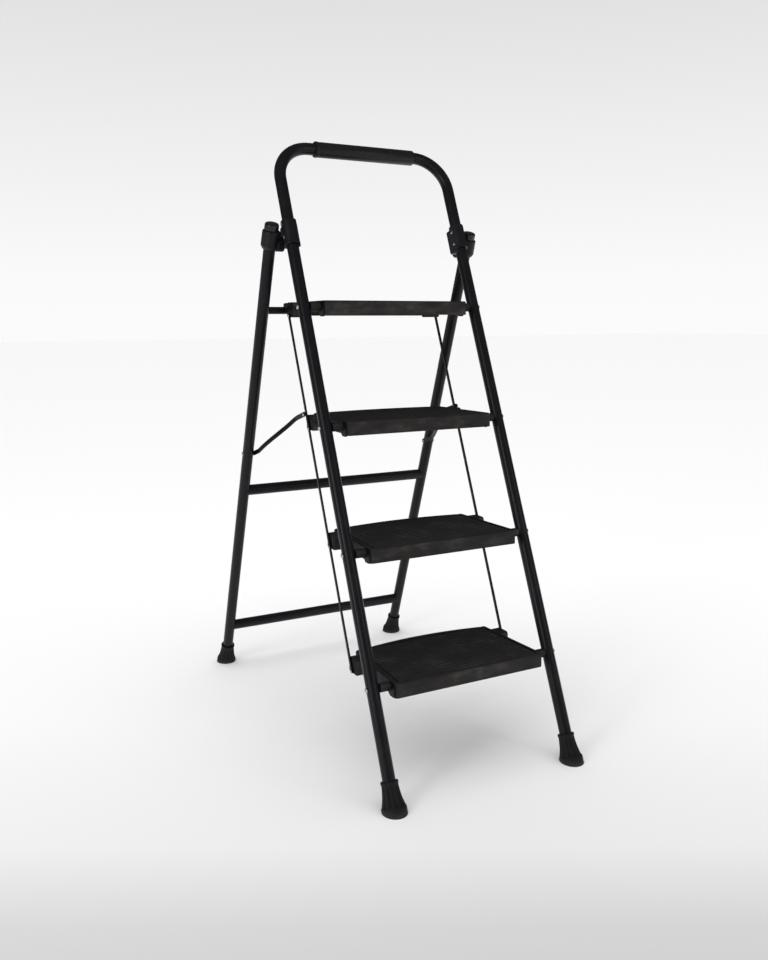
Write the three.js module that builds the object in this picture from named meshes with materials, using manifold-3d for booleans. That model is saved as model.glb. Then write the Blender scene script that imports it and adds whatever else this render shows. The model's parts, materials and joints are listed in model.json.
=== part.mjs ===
// Folding four-step ladder with a bent-tube handrail, standing open.
// Units are millimetres. X runs across the ladder, Y from the climbing side to the back, Z up.
// The origin lies on the floor, in the middle of the footprint.

import * as THREE from 'three';
import { mergeVertices } from 'three/addons/utils/BufferGeometryUtils.js';
import Module from 'manifold-3d';

const wasm = await Module();
wasm.setup();

// ---- frame tubes ----
const TUBE_RADIUS = 13.2;
const TUBE_WALL = 1.5;
const FRONT_RUN = 0.419;              // front leg: run back per unit of height
const REAR_RUN = 0.3792;              // rear leg: run forward per unit of height
const FRONT_HALF_WIDTH = 216;
const REAR_FOOT_Y = 918.4;            // rear leg axis on the floor, behind the front leg axis
const REAR_FOOT_HALF_WIDTH = 262.4;
const REAR_SPLAY = 0.008;             // rear leg: run inwards per unit of height
const HANDLE_HEIGHT = 1321;           // axis of the grip above the floor
const HANDLE_BEND_RADIUS = 80;
const GAP = 0.3;                      // clearance between neighbouring pieces

// ---- steps ----
const STEP_COUNT = 4;
const STEP_RISE = 250;
const FIRST_PIVOT_HEIGHT = 217;
const STEP_TOP = 13.5;                // tread surface above the pivot axis
const STEP_BOTTOM = -17.5;
const STEP_FRONT = -30;               // front face ahead of the pivot axis
const STEP_REAR = 182.5;              // rear corners behind the pivot axis
const TOP_STEP_REAR = 232;
const STEP_REAR_BOW = 17;             // how far the rear edge curves out in its middle
const STEP_HALF_FRONT = 180;
const STEP_HALF_REAR = 169;
const TOP_STEP_HALF_REAR = 176;
const STEP_FRONT_CORNER = 9;
const STEP_REAR_CORNER = 12;
const STEP_WALL = 3.5;
const STEP_SKIN = 4;                  // thickness of the tread itself
const FRONT_EDGE = 7;                 // rounding of the tread's upper edge: in front,
const REAR_EDGE = 11;                 // behind
const SIDE_EDGE = 4;                  // and at the sides
const ARCH_TOP = -14.5;               // underside of the raised part of each side wall
const ARCH_FROM = 2;
const ARCH_TO = 118;
const HEEL_FROM = -18;                // the side wall hangs a little lower beside the pivot
const WALL_LOW = -20.5;
const LUG_TO = 157;
const LUG_TOP = 13;
const HEEL_TOP = -3;
const RIB_THICKNESS = 2.5;
const RIB_BOTTOM = -12;
const RIBS_ALONG = [-116, -58, 0, 58, 116];
const RIBS_ACROSS = [22, 72, 122];
const BOSS_RADIUS = 9.8;
const BOSS_INNER_X = 160;
const OVERHANG_FROM = 152;            // top step: shallow part that rests on the rest bar
const OVERHANG_BOTTOM = 4;
const PIVOT_BOLT_RADIUS = 3.5;

// ---- side bars that tie the four steps together ----
const BAR_OFFSET = 147;               // bar line behind the front leg axis, measured along Y
const BAR_PIN_DROP = 17;              // bar pins below the step pivots
const BAR_INNER_X = 193.5;
const BAR_THICKNESS = 3;
const BAR_HALF_WIDTH = 4;
const PIN_RADIUS = 2;
const LUG_INNER_X = 166;
const LUG_OUTER_X = 193.2;

// ---- lift links between the rear legs and the side bars ----
const LINK_LOW_HEIGHT = 617;
const LINK_HIGH_HEIGHT = 731;
const LINK_HALF_WIDTH = 5.5;
const LINK_THICKNESS = 3;
const LINK_OUTER_X = 240.5;           // inner face of the end by the rear leg
const LINK_INNER_X = 199.3;           // inner face of the end by the side bar

// ---- hinges and rear cross bars ----
const HINGE_HEIGHT = 1105;
const REAR_TUBE_TOP = 1132;
const COLLAR_RADIUS = 20.2;
const CHEEK_RADIUS = 17;
const HINGE_PIN_RADIUS = 4;
const LOBE_X = [214, 221];            // the hinge lobe lies between these distances from the middle
const MIDDLE_BAR_HEIGHT = 518.7;
const LOW_BAR_HEIGHT = 117.3;
const REST_BAR_HEIGHT = 962.1;
const REST_BAR_RADIUS = 8.4;
const REST_BAR_HALF = 250;

const FRONT_LEAN = Math.atan(FRONT_RUN);
const REAR_LEAN = Math.atan(REAR_RUN);
const ACROSS = new THREE.Vector3(1, 0, 0);
const UP = new THREE.Vector3(0, 0, 1);

// ---- materials ----
const paint = () => new THREE.MeshStandardMaterial({ color: 0x141417, roughness: 0.35, metalness: 0.3 });
const plastic = () => new THREE.MeshStandardMaterial({ color: 0x1d1d20, roughness: 0.6, metalness: 0 });
const gripPlastic = () => new THREE.MeshStandardMaterial({ color: 0x151518, roughness: 0.5, metalness: 0 });
const rubber = () => new THREE.MeshStandardMaterial({ color: 0x18181a, roughness: 0.8, metalness: 0 });
const zinc = () => new THREE.MeshStandardMaterial({ color: 0x9a9a9c, roughness: 0.35, metalness: 0.9 });

// ---- solids ----
function solid(geometry) {
  const bare = geometry.clone();
  bare.deleteAttribute('normal');
  bare.deleteAttribute('uv');
  const merged = mergeVertices(bare, 1e-4);
  return new wasm.Manifold(new wasm.Mesh({
    numProp: 3,
    vertProperties: Float32Array.from(merged.attributes.position.array),
    triVerts: Uint32Array.from(merged.index.array),
  }));
}

function toGeometry(manifold) {
  const mesh = manifold.getMesh();
  const geometry = new THREE.BufferGeometry();
  geometry.setAttribute('position', new THREE.BufferAttribute(mesh.vertProperties, 3));
  geometry.setIndex(new THREE.BufferAttribute(mesh.triVerts, 1));
  geometry.computeVertexNormals();
  return geometry;
}

function mirrored(geometry) {
  const copy = geometry.index ? geometry.clone() : mergeVertices(geometry);
  copy.scale(-1, 1, 1);
  const index = copy.index.array;
  for (let i = 0; i < index.length; i += 3) {
    const second = index[i + 1];
    index[i + 1] = index[i + 2];
    index[i + 2] = second;
  }
  copy.computeVertexNormals();
  return copy;
}

// A closed cylinder from a to b.
function rod(a, b, radius, segments = 24) {
  const axis = new THREE.Vector3().subVectors(b, a);
  const geometry = new THREE.CylinderGeometry(radius, radius, axis.length(), segments);
  geometry.rotateX(Math.PI / 2);
  geometry.applyQuaternion(new THREE.Quaternion().setFromUnitVectors(UP, axis.clone().normalize()));
  geometry.translate((a.x + b.x) / 2, (a.y + b.y) / 2, (a.z + b.z) / 2);
  return geometry;
}

function rodAcross(x0, x1, y, z, radius, segments = 20) {
  return rod(new THREE.Vector3(x0, y, z), new THREE.Vector3(x1, y, z), radius, segments);
}

function box(x0, x1, y0, y1, z0, z1) {
  const geometry = new THREE.BoxGeometry(x1 - x0, y1 - y0, z1 - z0);
  geometry.translate((x0 + x1) / 2, (y0 + y1) / 2, (z0 + z1) / 2);
  return geometry;
}

// An outline drawn in the Y-Z plane, extruded across the ladder from x0 to x1.
function extrudeAcross(shape, x0, x1) {
  const geometry = new THREE.ExtrudeGeometry(shape, {
    depth: x1 - x0, bevelEnabled: false, curveSegments: 6,
  });
  geometry.applyMatrix4(new THREE.Matrix4().makeBasis(
    new THREE.Vector3(0, 1, 0), new THREE.Vector3(0, 0, 1), ACROSS));
  geometry.translate(x0, 0, 0);
  return geometry;
}

// A turned shape whose profile lists [radius, distance along the axis], stood on its axis direction.
function turned(profile, direction = UP, segments = 28) {
  const points = profile.map(([radius, along]) => new THREE.Vector2(radius, along));
  const geometry = new THREE.LatheGeometry(points, segments);
  geometry.rotateX(Math.PI / 2);
  geometry.applyQuaternion(new THREE.Quaternion().setFromUnitVectors(UP, direction));
  return geometry;
}

// A straight-sided outline with rounded corners; each corner is [a, b, radius].
function roundedShape(corners) {
  const shape = new THREE.Shape();
  corners.forEach(([a, b, radius], i) => {
    const here = new THREE.Vector2(a, b);
    const before = corners[(i + corners.length - 1) % corners.length];
    const after = corners[(i + 1) % corners.length];
    const start = new THREE.Vector2(before[0] - a, before[1] - b).setLength(radius).add(here);
    const end = new THREE.Vector2(after[0] - a, after[1] - b).setLength(radius).add(here);
    if (i === 0) shape.moveTo(start.x, start.y);
    else shape.lineTo(start.x, start.y);
    if (radius > 0) shape.quadraticCurveTo(a, b, end.x, end.y);
  });
  shape.closePath();
  return shape;
}

// ---- places ----
const sides = [['left', -1], ['right', 1]];
const pivotHeight = (i) => FIRST_PIVOT_HEIGHT + i * STEP_RISE;
const frontPoint = (side, z) => new THREE.Vector3(side * FRONT_HALF_WIDTH, FRONT_RUN * z, z);
const rearPoint = (side, z) => new THREE.Vector3(
  side * (REAR_FOOT_HALF_WIDTH - REAR_SPLAY * z), REAR_FOOT_Y - REAR_RUN * z, z);
const frontDirection = new THREE.Vector3(0, FRONT_RUN, 1).normalize();
const rearDirection = (side) => new THREE.Vector3(-side * REAR_SPLAY, -REAR_RUN, 1).normalize();
const barPin = new THREE.Vector2(BAR_OFFSET - FRONT_RUN * BAR_PIN_DROP, -BAR_PIN_DROP);
const hingeY = REAR_FOOT_Y - REAR_RUN * HINGE_HEIGHT;

const ladder = new THREE.Group();

function place(name, geometry, material, position = null, parent = ladder) {
  const mesh = new THREE.Mesh(geometry, material);
  mesh.name = name;
  if (position) mesh.position.copy(position);
  parent.add(mesh);
  return mesh;
}

// ---- front frame: one tube bent into a tall U, with the handle at its top ----
// Rings of the sweep sit only where the tube starts, ends or bends.
class TubePath extends THREE.Curve {
  constructor(points) {
    super();
    this.points = points;
  }
  index(t) {
    return Math.round(t * (this.points.length - 1));
  }
  getPoint(t, target = new THREE.Vector3()) {
    return target.copy(this.points[this.index(t)]);
  }
  getPointAt(t, target) {
    return this.getPoint(t, target);
  }
  getTangent(t, target = new THREE.Vector3()) {
    const i = this.index(t);
    const last = this.points.length - 1;
    const step = (from, to) => this.points[to].clone().sub(this.points[from]).normalize();
    const ahead = step(Math.min(i, last - 1), Math.min(i + 1, last));
    const behind = step(Math.max(i - 1, 0), Math.max(i, 1));
    return target.copy(ahead).add(behind).normalize();
  }
  getTangentAt(t, target) {
    return this.getTangent(t, target);
  }
}

// Along the lean of the front legs, a height above the floor becomes this length.
const alongFront = (height) => height / Math.cos(FRONT_LEAN);
const LEG_END = 8 + GAP;              // the tubes stop inside the rubber feet
const HINGE_RIVETS = [[-1, 1211], [-1, 1241]];    // behind the leg axis, along the leg

function frontTube() {
  const top = alongFront(HANDLE_HEIGHT);
  const bendStart = top - HANDLE_BEND_RADIUS;
  const bendCentre = FRONT_HALF_WIDTH - HANDLE_BEND_RADIUS;
  const bendSteps = 7;
  const points = [new THREE.Vector3(-FRONT_HALF_WIDTH, 0, LEG_END)];
  for (const [centre, from] of [[-bendCentre, Math.PI], [bendCentre, Math.PI / 2]]) {
    for (let i = 0; i <= bendSteps; i++) {
      const angle = from - (Math.PI / 2) * (i / bendSteps);
      const across = centre + HANDLE_BEND_RADIUS * Math.cos(angle);
      points.push(new THREE.Vector3(across, 0, bendStart + HANDLE_BEND_RADIUS * Math.sin(angle)));
    }
  }
  points.push(new THREE.Vector3(FRONT_HALF_WIDTH, 0, LEG_END));
  const section = new THREE.Shape().absarc(0, 0, TUBE_RADIUS, 0, 2 * Math.PI);
  section.holes.push(new THREE.Path().absarc(0, 0, TUBE_RADIUS - TUBE_WALL, 0, 2 * Math.PI, true));
  const swept = new THREE.ExtrudeGeometry(section, {
    steps: points.length - 1, extrudePath: new TubePath(points), curveSegments: 12,
  });
  const drills = HINGE_RIVETS.map(([behind, along]) => [behind, along, PIN_RADIUS + GAP]);
  for (let i = 0; i < STEP_COUNT; i++) {
    drills.push([0, alongFront(pivotHeight(i)), PIVOT_BOLT_RADIUS + GAP]);
  }
  const reach = FRONT_HALF_WIDTH + 20;
  let tube = solid(swept);
  for (const [behind, along, radius] of drills) {
    tube = tube.subtract(solid(rodAcross(-reach, reach, behind, along, radius, 12)));
  }
  return toGeometry(tube);
}

const leaning = new THREE.Group();
leaning.rotation.x = -FRONT_LEAN;
ladder.add(leaning);
place('front_frame_tube', frontTube(), paint(), null, leaning);

// ---- hand grip: a sleeve on the top of the front tube ----
const GRIP_HALF_LENGTH = 128;
const GRIP_SHIFT = 6.5;               // the grip sits a little off the middle
const GRIP_RADIUS = 17;
const GRIP_FLANGE = 0.8;

function gripGeometry() {
  const bore = TUBE_RADIUS + GAP;
  const end = GRIP_HALF_LENGTH;
  const flangeRadius = GRIP_RADIUS + GRIP_FLANGE;
  const profile = [
    [bore, -end], [GRIP_RADIUS - 2, -end], [flangeRadius - 1, -end + 2], [flangeRadius, -end + 4],
    [flangeRadius, -end + 8], [GRIP_RADIUS, -end + 10], [GRIP_RADIUS, end - 3], [GRIP_RADIUS - 2.5, end],
    [bore, end], [bore, -end],
  ];
  return turned(profile, ACROSS, 28);
}
const gripCentre = new THREE.Vector3(GRIP_SHIFT, 0, alongFront(HANDLE_HEIGHT));
place('hand_grip', gripGeometry(), gripPlastic(), gripCentre, leaning);

// ---- rubber feet: a flared cup round each leg end, cut level with the floor ----
const FOOT_PROFILE = [
  [0, -20], [25.5, -20], [25.5, 4], [24, 8], [21.5, 16], [19, 30], [17.6, 46], [17.6, 56], [16.4, 58],
  [TUBE_RADIUS + GAP, 58], [TUBE_RADIUS + GAP, 8], [0, 8],
];

function footGeometry(direction) {
  const cup = solid(turned(FOOT_PROFILE, direction, 26));
  const aboveFloor = solid(box(-60, 60, -60, 60, 0, 90));
  return toGeometry(cup.intersect(aboveFloor));
}

for (const [name, side] of sides) {
  place(`front_foot_${name}`, footGeometry(frontDirection), rubber(), frontPoint(side, 0));
  place(`rear_foot_${name}`, footGeometry(rearDirection(side)), rubber(), rearPoint(side, 0));
}

// ---- steps: moulded trays, open underneath, with ribs, pivot bosses and lugs for the side bars ----
const lowerTread = { rear: STEP_REAR, halfRear: STEP_HALF_REAR };
const topTread = { rear: TOP_STEP_REAR, halfRear: TOP_STEP_HALF_REAR };

function treadOutline(tread, margin) {
  const front = STEP_FRONT + margin;
  const halfFront = STEP_HALF_FRONT - margin;
  const halfRear = tread.halfRear - margin;
  const back = tread.rear - margin;
  const frontCorner = STEP_FRONT_CORNER - margin;
  const rearCorner = STEP_REAR_CORNER - margin;
  const shape = new THREE.Shape();
  shape.moveTo(-halfFront + frontCorner, front);
  shape.lineTo(halfFront - frontCorner, front);
  shape.quadraticCurveTo(halfFront, front, halfFront, front + frontCorner);
  shape.lineTo(halfRear, back - rearCorner);
  shape.quadraticCurveTo(halfRear, back, halfRear - rearCorner, back + 1);
  shape.quadraticCurveTo(0, back + 2 * STEP_REAR_BOW, -halfRear + rearCorner, back + 1);
  shape.quadraticCurveTo(-halfRear, back, -halfRear, back - rearCorner);
  shape.lineTo(-halfFront, front + frontCorner);
  shape.quadraticCurveTo(-halfFront, front, -halfFront + frontCorner, front);
  return shape;
}

function slab(shape, z0, z1) {
  const geometry = new THREE.ExtrudeGeometry(shape, {
    depth: z1 - z0, bevelEnabled: false, curveSegments: 3,
  });
  geometry.translate(0, 0, z0);
  return solid(geometry);
}

// The unhollowed step. Its upper edge is rounded: most behind, least at the sides.
function treadBlock(tread) {
  const outline = treadOutline(tread, 0).getPoints(5).slice(0, -1);
  const count = outline.length;
  const edges = outline.map((point, i) => {
    const after = outline[(i + 1) % count];
    const before = outline[(i + count - 1) % count];
    const along = after.clone().sub(before).normalize();
    const normal = new THREE.Vector2(along.y, -along.x);
    const strongest = normal.y > 0 ? REAR_EDGE : FRONT_EDGE;
    return { point, normal, radius: SIDE_EDGE + (strongest - SIDE_EDGE) * normal.y ** 2 };
  });
  const positions = [];
  for (const { point } of edges) {
    positions.push(point.x, point.y, STEP_BOTTOM);
  }
  const roundSteps = 3;
  for (let k = 0; k <= roundSteps; k++) {
    const angle = (Math.PI / 2) * (k / roundSteps);
    for (const { point, normal, radius } of edges) {
      const inset = radius * (1 - Math.cos(angle));
      const drop = radius * (1 - Math.sin(angle));
      positions.push(point.x - normal.x * inset, point.y - normal.y * inset, STEP_TOP - drop);
    }
  }
  const middle = tread.rear / 2;
  positions.push(0, middle, STEP_BOTTOM, 0, middle, STEP_TOP);
  const rings = roundSteps + 2;
  const bottomMiddle = rings * count;
  const triangles = [];
  for (let i = 0; i < count; i++) {
    const next = (i + 1) % count;
    triangles.push(bottomMiddle, next, i);
    for (let ring = 0; ring < rings - 1; ring++) {
      const low = ring * count;
      const high = low + count;
      triangles.push(low + i, low + next, high + next, low + i, high + next, high + i);
    }
    const last = (rings - 1) * count;
    triangles.push(bottomMiddle + 1, last + i, last + next);
  }
  return new wasm.Manifold(new wasm.Mesh({
    numProp: 3, vertProperties: Float32Array.from(positions), triVerts: Uint32Array.from(triangles),
  }));
}

// Room kept free below the top step's overhang.
function belowOverhang() {
  return solid(box(-220, 220, OVERHANG_FROM, TOP_STEP_REAR + 40, STEP_BOTTOM - 10, OVERHANG_BOTTOM));
}

function stepRibs(tread) {
  const half = RIB_THICKNESS / 2;
  const end = tread.rear + STEP_REAR_BOW;
  const along = RIBS_ALONG.map((x) => box(x - half, x + half, STEP_FRONT, end, RIB_BOTTOM, STEP_TOP - 1));
  const across = RIBS_ACROSS.map((y) => box(
    -STEP_HALF_FRONT, STEP_HALF_FRONT, y - half, y + half, RIB_BOTTOM, STEP_TOP - 1));
  const inside = slab(treadOutline(tread, STEP_WALL - 1), RIB_BOTTOM - 1, STEP_TOP - 1);
  return wasm.Manifold.union([...along, ...across].map(solid)).intersect(inside);
}

// Parts outside or below the side wall: the pivot boss, the heel beside it, and the lug for the side bar.
function sideParts() {
  const boss = rodAcross(BOSS_INNER_X, FRONT_HALF_WIDTH - TUBE_RADIUS - GAP, 0, 0, BOSS_RADIUS, 20);
  const heelTo = ARCH_FROM - 0.4;
  const heel = extrudeAcross(roundedShape([
    [HEEL_FROM, HEEL_TOP, 0], [HEEL_FROM, WALL_LOW, 3], [heelTo, WALL_LOW, 3], [heelTo, HEEL_TOP, 0],
  ]), STEP_HALF_FRONT - STEP_WALL - 2, STEP_HALF_FRONT - 2);
  const lug = extrudeAcross(roundedShape([
    [ARCH_TO, LUG_TOP, 8], [ARCH_TO, WALL_LOW - 0.5, 5], [LUG_TO, WALL_LOW - 0.5, 5], [LUG_TO, LUG_TOP, 8],
  ]), LUG_INNER_X, LUG_OUTER_X);
  return [boss, heel, lug];
}

function stepGeometry(tread, isTop) {
  const block = treadBlock(tread);
  const hollowTread = { rear: tread.rear - 3, halfRear: tread.halfRear };
  const hollow = slab(treadOutline(hollowTread, STEP_WALL), STEP_BOTTOM - 2, STEP_TOP - STEP_SKIN);
  let step = block.subtract(hollow).add(stepRibs(tread).intersect(block));
  if (isTop) {
    const half = STEP_HALF_FRONT;
    const wallFrom = OVERHANG_FROM - STEP_WALL;
    const rearWall = solid(box(-half, half, wallFrom, OVERHANG_FROM, STEP_BOTTOM, STEP_TOP - 1));
    step = step.add(rearWall.intersect(block)).subtract(belowOverhang());
  }
  const arch = extrudeAcross(roundedShape([
    [ARCH_FROM, -40, 0], [ARCH_FROM, ARCH_TOP, 2.5], [ARCH_TO, ARCH_TOP, 2.5], [ARCH_TO, -40, 0],
  ]), 160, 200);
  step = step.subtract(solid(arch)).subtract(solid(mirrored(arch)));
  for (const piece of sideParts()) {
    step = step.add(solid(piece)).add(solid(mirrored(piece)));
  }
  const boltHole = rodAcross(BOSS_INNER_X - 10, 220, 0, 0, PIVOT_BOLT_RADIUS + GAP, 12);
  const pinHole = rodAcross(BOSS_INNER_X, 200, barPin.x, barPin.y, PIN_RADIUS + GAP, 12);
  for (const hole of [boltHole, pinHole]) {
    step = step.subtract(solid(hole)).subtract(solid(mirrored(hole)));
  }
  return toGeometry(step);
}

// A headed pin lying along X: shank from x0 to x1, domed head from x1 outwards.
function headedPin(x0, x1, shankRadius, headRadius, headHeight) {
  const profile = [
    [0, x0], [shankRadius, x0], [shankRadius, x1], [headRadius, x1],
    [headRadius * 0.92, x1 + headHeight * 0.55], [headRadius * 0.6, x1 + headHeight * 0.9],
    [0, x1 + headHeight],
  ];
  return turned(profile, ACROSS, 14);
}

const lowerStep = stepGeometry(lowerTread, false);
const topStep = stepGeometry(topTread, true);
const legOuterX = FRONT_HALF_WIDTH + TUBE_RADIUS + GAP;
const barOuterX = BAR_INNER_X + BAR_THICKNESS + 0.2;
const pivotBolt = headedPin(BOSS_INNER_X + 6, legOuterX, PIVOT_BOLT_RADIUS, 5.5, 3);
const stepBarPin = headedPin(LUG_INNER_X + 14, barOuterX, PIN_RADIUS, 3.8, 2.2);

for (let i = 0; i < STEP_COUNT; i++) {
  const pivot = new THREE.Vector3(0, FRONT_RUN * pivotHeight(i), pivotHeight(i));
  const group = new THREE.Group();
  group.position.copy(pivot);
  ladder.add(group);
  place(`step_${i + 1}`, i === STEP_COUNT - 1 ? topStep : lowerStep, plastic(), null, group);
  const barPinCentre = new THREE.Vector3(0, barPin.x, barPin.y);
  for (const [name, side] of sides) {
    const flip = side < 0 ? mirrored : (geometry) => geometry;
    place(`step_${i + 1}_pivot_bolt_${name}`, flip(pivotBolt), zinc(), null, group);
    place(`step_${i + 1}_bar_pin_${name}`, flip(stepBarPin), zinc(), barPinCentre, group);
  }
}

// ---- side bars: flat strips pinned to the lugs of all four steps ----
function sideBar() {
  const length = alongFront((STEP_COUNT - 1) * STEP_RISE);
  const shape = new THREE.Shape();
  shape.absarc(0, 0, BAR_HALF_WIDTH, Math.PI, 2 * Math.PI);
  shape.absarc(0, length, BAR_HALF_WIDTH, 0, Math.PI);
  shape.closePath();
  for (let i = 0; i < STEP_COUNT; i++) {
    const along = alongFront(i * STEP_RISE);
    shape.holes.push(new THREE.Path().absarc(0, along, PIN_RADIUS + GAP, 0, 2 * Math.PI, true));
  }
  return extrudeAcross(shape, BAR_INNER_X, BAR_INNER_X + BAR_THICKNESS);
}

const bars = new THREE.Group();
bars.rotation.x = -FRONT_LEAN;
bars.position.set(0, FRONT_RUN * pivotHeight(0) + barPin.x, pivotHeight(0) + barPin.y);
ladder.add(bars);
for (const [name, side] of sides) {
  place(`side_bar_${name}`, side < 0 ? mirrored(sideBar()) : sideBar(), paint(), null, bars);
}

// ---- lift links: flat strips, kinked in side view and joggled inwards to reach the side bars ----
const linkLow = new THREE.Vector2(REAR_FOOT_Y - REAR_RUN * LINK_LOW_HEIGHT, LINK_LOW_HEIGHT);
const linkHigh = new THREE.Vector2(FRONT_RUN * LINK_HIGH_HEIGHT + BAR_OFFSET, LINK_HIGH_HEIGHT);
const LINK_END_SLOPE = THREE.MathUtils.degToRad(15.5);
const LINK_LOW_END = 44;
const LINK_HIGH_END = 52;
const LINK_JOG_FROM = 50;             // where the strip starts to lean inwards, from either end

// The strip's outline round its centre line, with round ends.
function stripOutline(centres, halfWidth) {
  const normals = centres.map((_, i) => {
    const a = centres[Math.max(i - 1, 0)];
    const b = centres[Math.min(i + 1, centres.length - 1)];
    const along = b.clone().sub(a).normalize();
    return new THREE.Vector2(-along.y, along.x);
  });
  const offset = (i, sign) => centres[i].clone().addScaledVector(normals[i], sign * halfWidth);
  const last = centres.length - 1;
  const shape = new THREE.Shape();
  const angleAt = (i) => Math.atan2(normals[i].y, normals[i].x);
  shape.absarc(centres[0].x, centres[0].y, halfWidth, angleAt(0), angleAt(0) + Math.PI);
  for (let i = 1; i < last; i++) shape.lineTo(offset(i, -1).x, offset(i, -1).y);
  const end = centres[last];
  shape.absarc(end.x, end.y, halfWidth, angleAt(last) + Math.PI, angleAt(last) + 2 * Math.PI);
  for (let i = last - 1; i > 0; i--) shape.lineTo(offset(i, 1).x, offset(i, 1).y);
  shape.closePath();
  return shape;
}

function liftLink() {
  const slope = new THREE.Vector2(-Math.cos(LINK_END_SLOPE), Math.sin(LINK_END_SLOPE));
  const centres = [
    linkLow,
    linkLow.clone().addScaledVector(slope, LINK_LOW_END),
    linkHigh.clone().addScaledVector(slope, -LINK_HIGH_END),
    linkHigh,
  ];
  const outline = stripOutline(centres, LINK_HALF_WIDTH);
  for (const end of [linkLow, linkHigh]) {
    outline.holes.push(new THREE.Path().absarc(end.x, end.y, PIN_RADIUS + 1 + GAP, 0, 2 * Math.PI, true));
  }
  const flat = solid(extrudeAcross(outline, 190, 250));
  const along = linkHigh.clone().sub(linkLow);
  const length = along.length();
  along.normalize();
  const outerFace = LINK_OUTER_X + LINK_THICKNESS;
  const innerFace = LINK_INNER_X + LINK_THICKNESS;
  const past = 20;                    // the band runs past both round ends
  const joggle = roundedShape([
    [-past, LINK_OUTER_X, 0], [LINK_JOG_FROM, LINK_OUTER_X, 6],
    [length - LINK_JOG_FROM, LINK_INNER_X, 6], [length + past, LINK_INNER_X, 0],
    [length + past, innerFace, 0], [length - LINK_JOG_FROM + 1, innerFace, 6],
    [LINK_JOG_FROM + 1, outerFace, 6], [-past, outerFace, 0],
  ]);
  const bandHalf = 80;
  const band = new THREE.ExtrudeGeometry(joggle, {
    depth: 2 * bandHalf, bevelEnabled: false, curveSegments: 5,
  });
  band.translate(0, 0, -bandHalf);
  band.applyMatrix4(new THREE.Matrix4().makeBasis(
    new THREE.Vector3(0, along.x, along.y), ACROSS, new THREE.Vector3(0, along.y, -along.x)));
  band.translate(0, linkLow.x, linkLow.y);
  return toGeometry(flat.intersect(solid(band)));
}

const rearLegX = REAR_FOOT_HALF_WIDTH - REAR_SPLAY * LINK_LOW_HEIGHT;
const linkLegRivet = headedPin(LINK_OUTER_X - 0.5, rearLegX + TUBE_RADIUS + GAP, PIN_RADIUS + 1, 5, 2.5);
const linkBarRivet = headedPin(LINK_INNER_X, LINK_INNER_X + LINK_THICKNESS + 0.2, PIN_RADIUS + 1, 4.6, 2);
for (const [name, side] of sides) {
  const flip = side < 0 ? mirrored : (geometry) => geometry;
  place(`lift_link_${name}`, flip(liftLink()), paint());
  const low = new THREE.Vector3(0, linkLow.x, linkLow.y);
  const high = new THREE.Vector3(0, linkHigh.x, linkHigh.y);
  place(`lift_link_leg_rivet_${name}`, flip(linkLegRivet), zinc(), low);
  place(`lift_link_bar_rivet_${name}`, flip(linkBarRivet), zinc(), high);
}

// ---- rear frame: two splayed legs joined by cross bars ----
function rearLeg(side) {
  const start = rearPoint(side, 0).addScaledVector(rearDirection(side), LEG_END);
  const end = rearPoint(side, REAR_TUBE_TOP);
  const outer = solid(rod(start, end, TUBE_RADIUS));
  const direction = rearDirection(side);
  const below = start.clone().addScaledVector(direction, -1);
  const above = end.clone().addScaledVector(direction, 1);
  const bore = rod(below, above, TUBE_RADIUS - TUBE_WALL);
  const drill = rodAcross(side * 230, side * 290, linkLow.x, linkLow.y, PIN_RADIUS + 1 + GAP, 12);
  return toGeometry(outer.subtract(solid(bore)).subtract(solid(drill)));
}

// A hollow tube across the ladder.
function tubeAcross(reach, y, z, radius) {
  const bore = solid(rodAcross(-reach - 5, reach + 5, y, z, radius - TUBE_WALL));
  return solid(rodAcross(-reach, reach, y, z, radius)).subtract(bore);
}

// A cross bar between the rear legs, its ends shaped to the round legs.
function crossBar(height) {
  const centre = rearPoint(1, height);
  let bar = tubeAcross(centre.x, centre.y, height, TUBE_RADIUS);
  for (const [, side] of sides) {
    const leg = rod(rearPoint(side, height - 60), rearPoint(side, height + 60), TUBE_RADIUS + GAP);
    bar = bar.subtract(solid(leg));
  }
  return toGeometry(bar);
}

for (const [name, side] of sides) {
  place(`rear_leg_${name}`, rearLeg(side), paint());
}
place('rear_cross_bar_middle', crossBar(MIDDLE_BAR_HEIGHT), paint());
place('rear_cross_bar_low', crossBar(LOW_BAR_HEIGHT), paint());

// The rest bar carries the back of the top step and lies against the back of the rear legs.
const restBarSet = TUBE_RADIUS + REST_BAR_RADIUS + GAP;
const restBarY = REAR_FOOT_Y - REAR_RUN * REST_BAR_HEIGHT + restBarSet / Math.cos(REAR_LEAN);
const restBar = tubeAcross(REST_BAR_HALF, restBarY, REST_BAR_HEIGHT, REST_BAR_RADIUS);
place('step_rest_bar', toGeometry(restBar), paint());

// ---- hinges: a bracket on each front leg, and a collar with a cheek on each rear leg ----
const SLEEVE_RADIUS = 17.4;
const SLEEVE_FROM = 1198;             // along the front leg
const SLEEVE_TO = 1259;
const SLEEVE_CHAMFER = 3.5;
const SLEEVE_LIP = 0.8;
const BRACKET_INNER_X = 200.5;        // flat inner face of the bracket
const hingeAlong = hingeY * Math.sin(FRONT_LEAN) + HINGE_HEIGHT * Math.cos(FRONT_LEAN);
const hingeBehind = hingeY * Math.cos(FRONT_LEAN) - HINGE_HEIGHT * Math.sin(FRONT_LEAN);

// Outlines in the leg's own frame: distance behind the leg axis, then distance along the leg.
const BRACKET_OUTLINE = [[-9.5, 1180, 2], [-9.5, 1248.5, 3], [22.5, 1252, 3], [23.5, 1195, 2]];
const LOBE_OUTLINE = [
  [0, 1186, 0], [14, 1189, 3], [41, 1205.5, 4], [42.5, 1259.5, 3], [14, 1259.5, 2], [0, 1256, 0],
];

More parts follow.
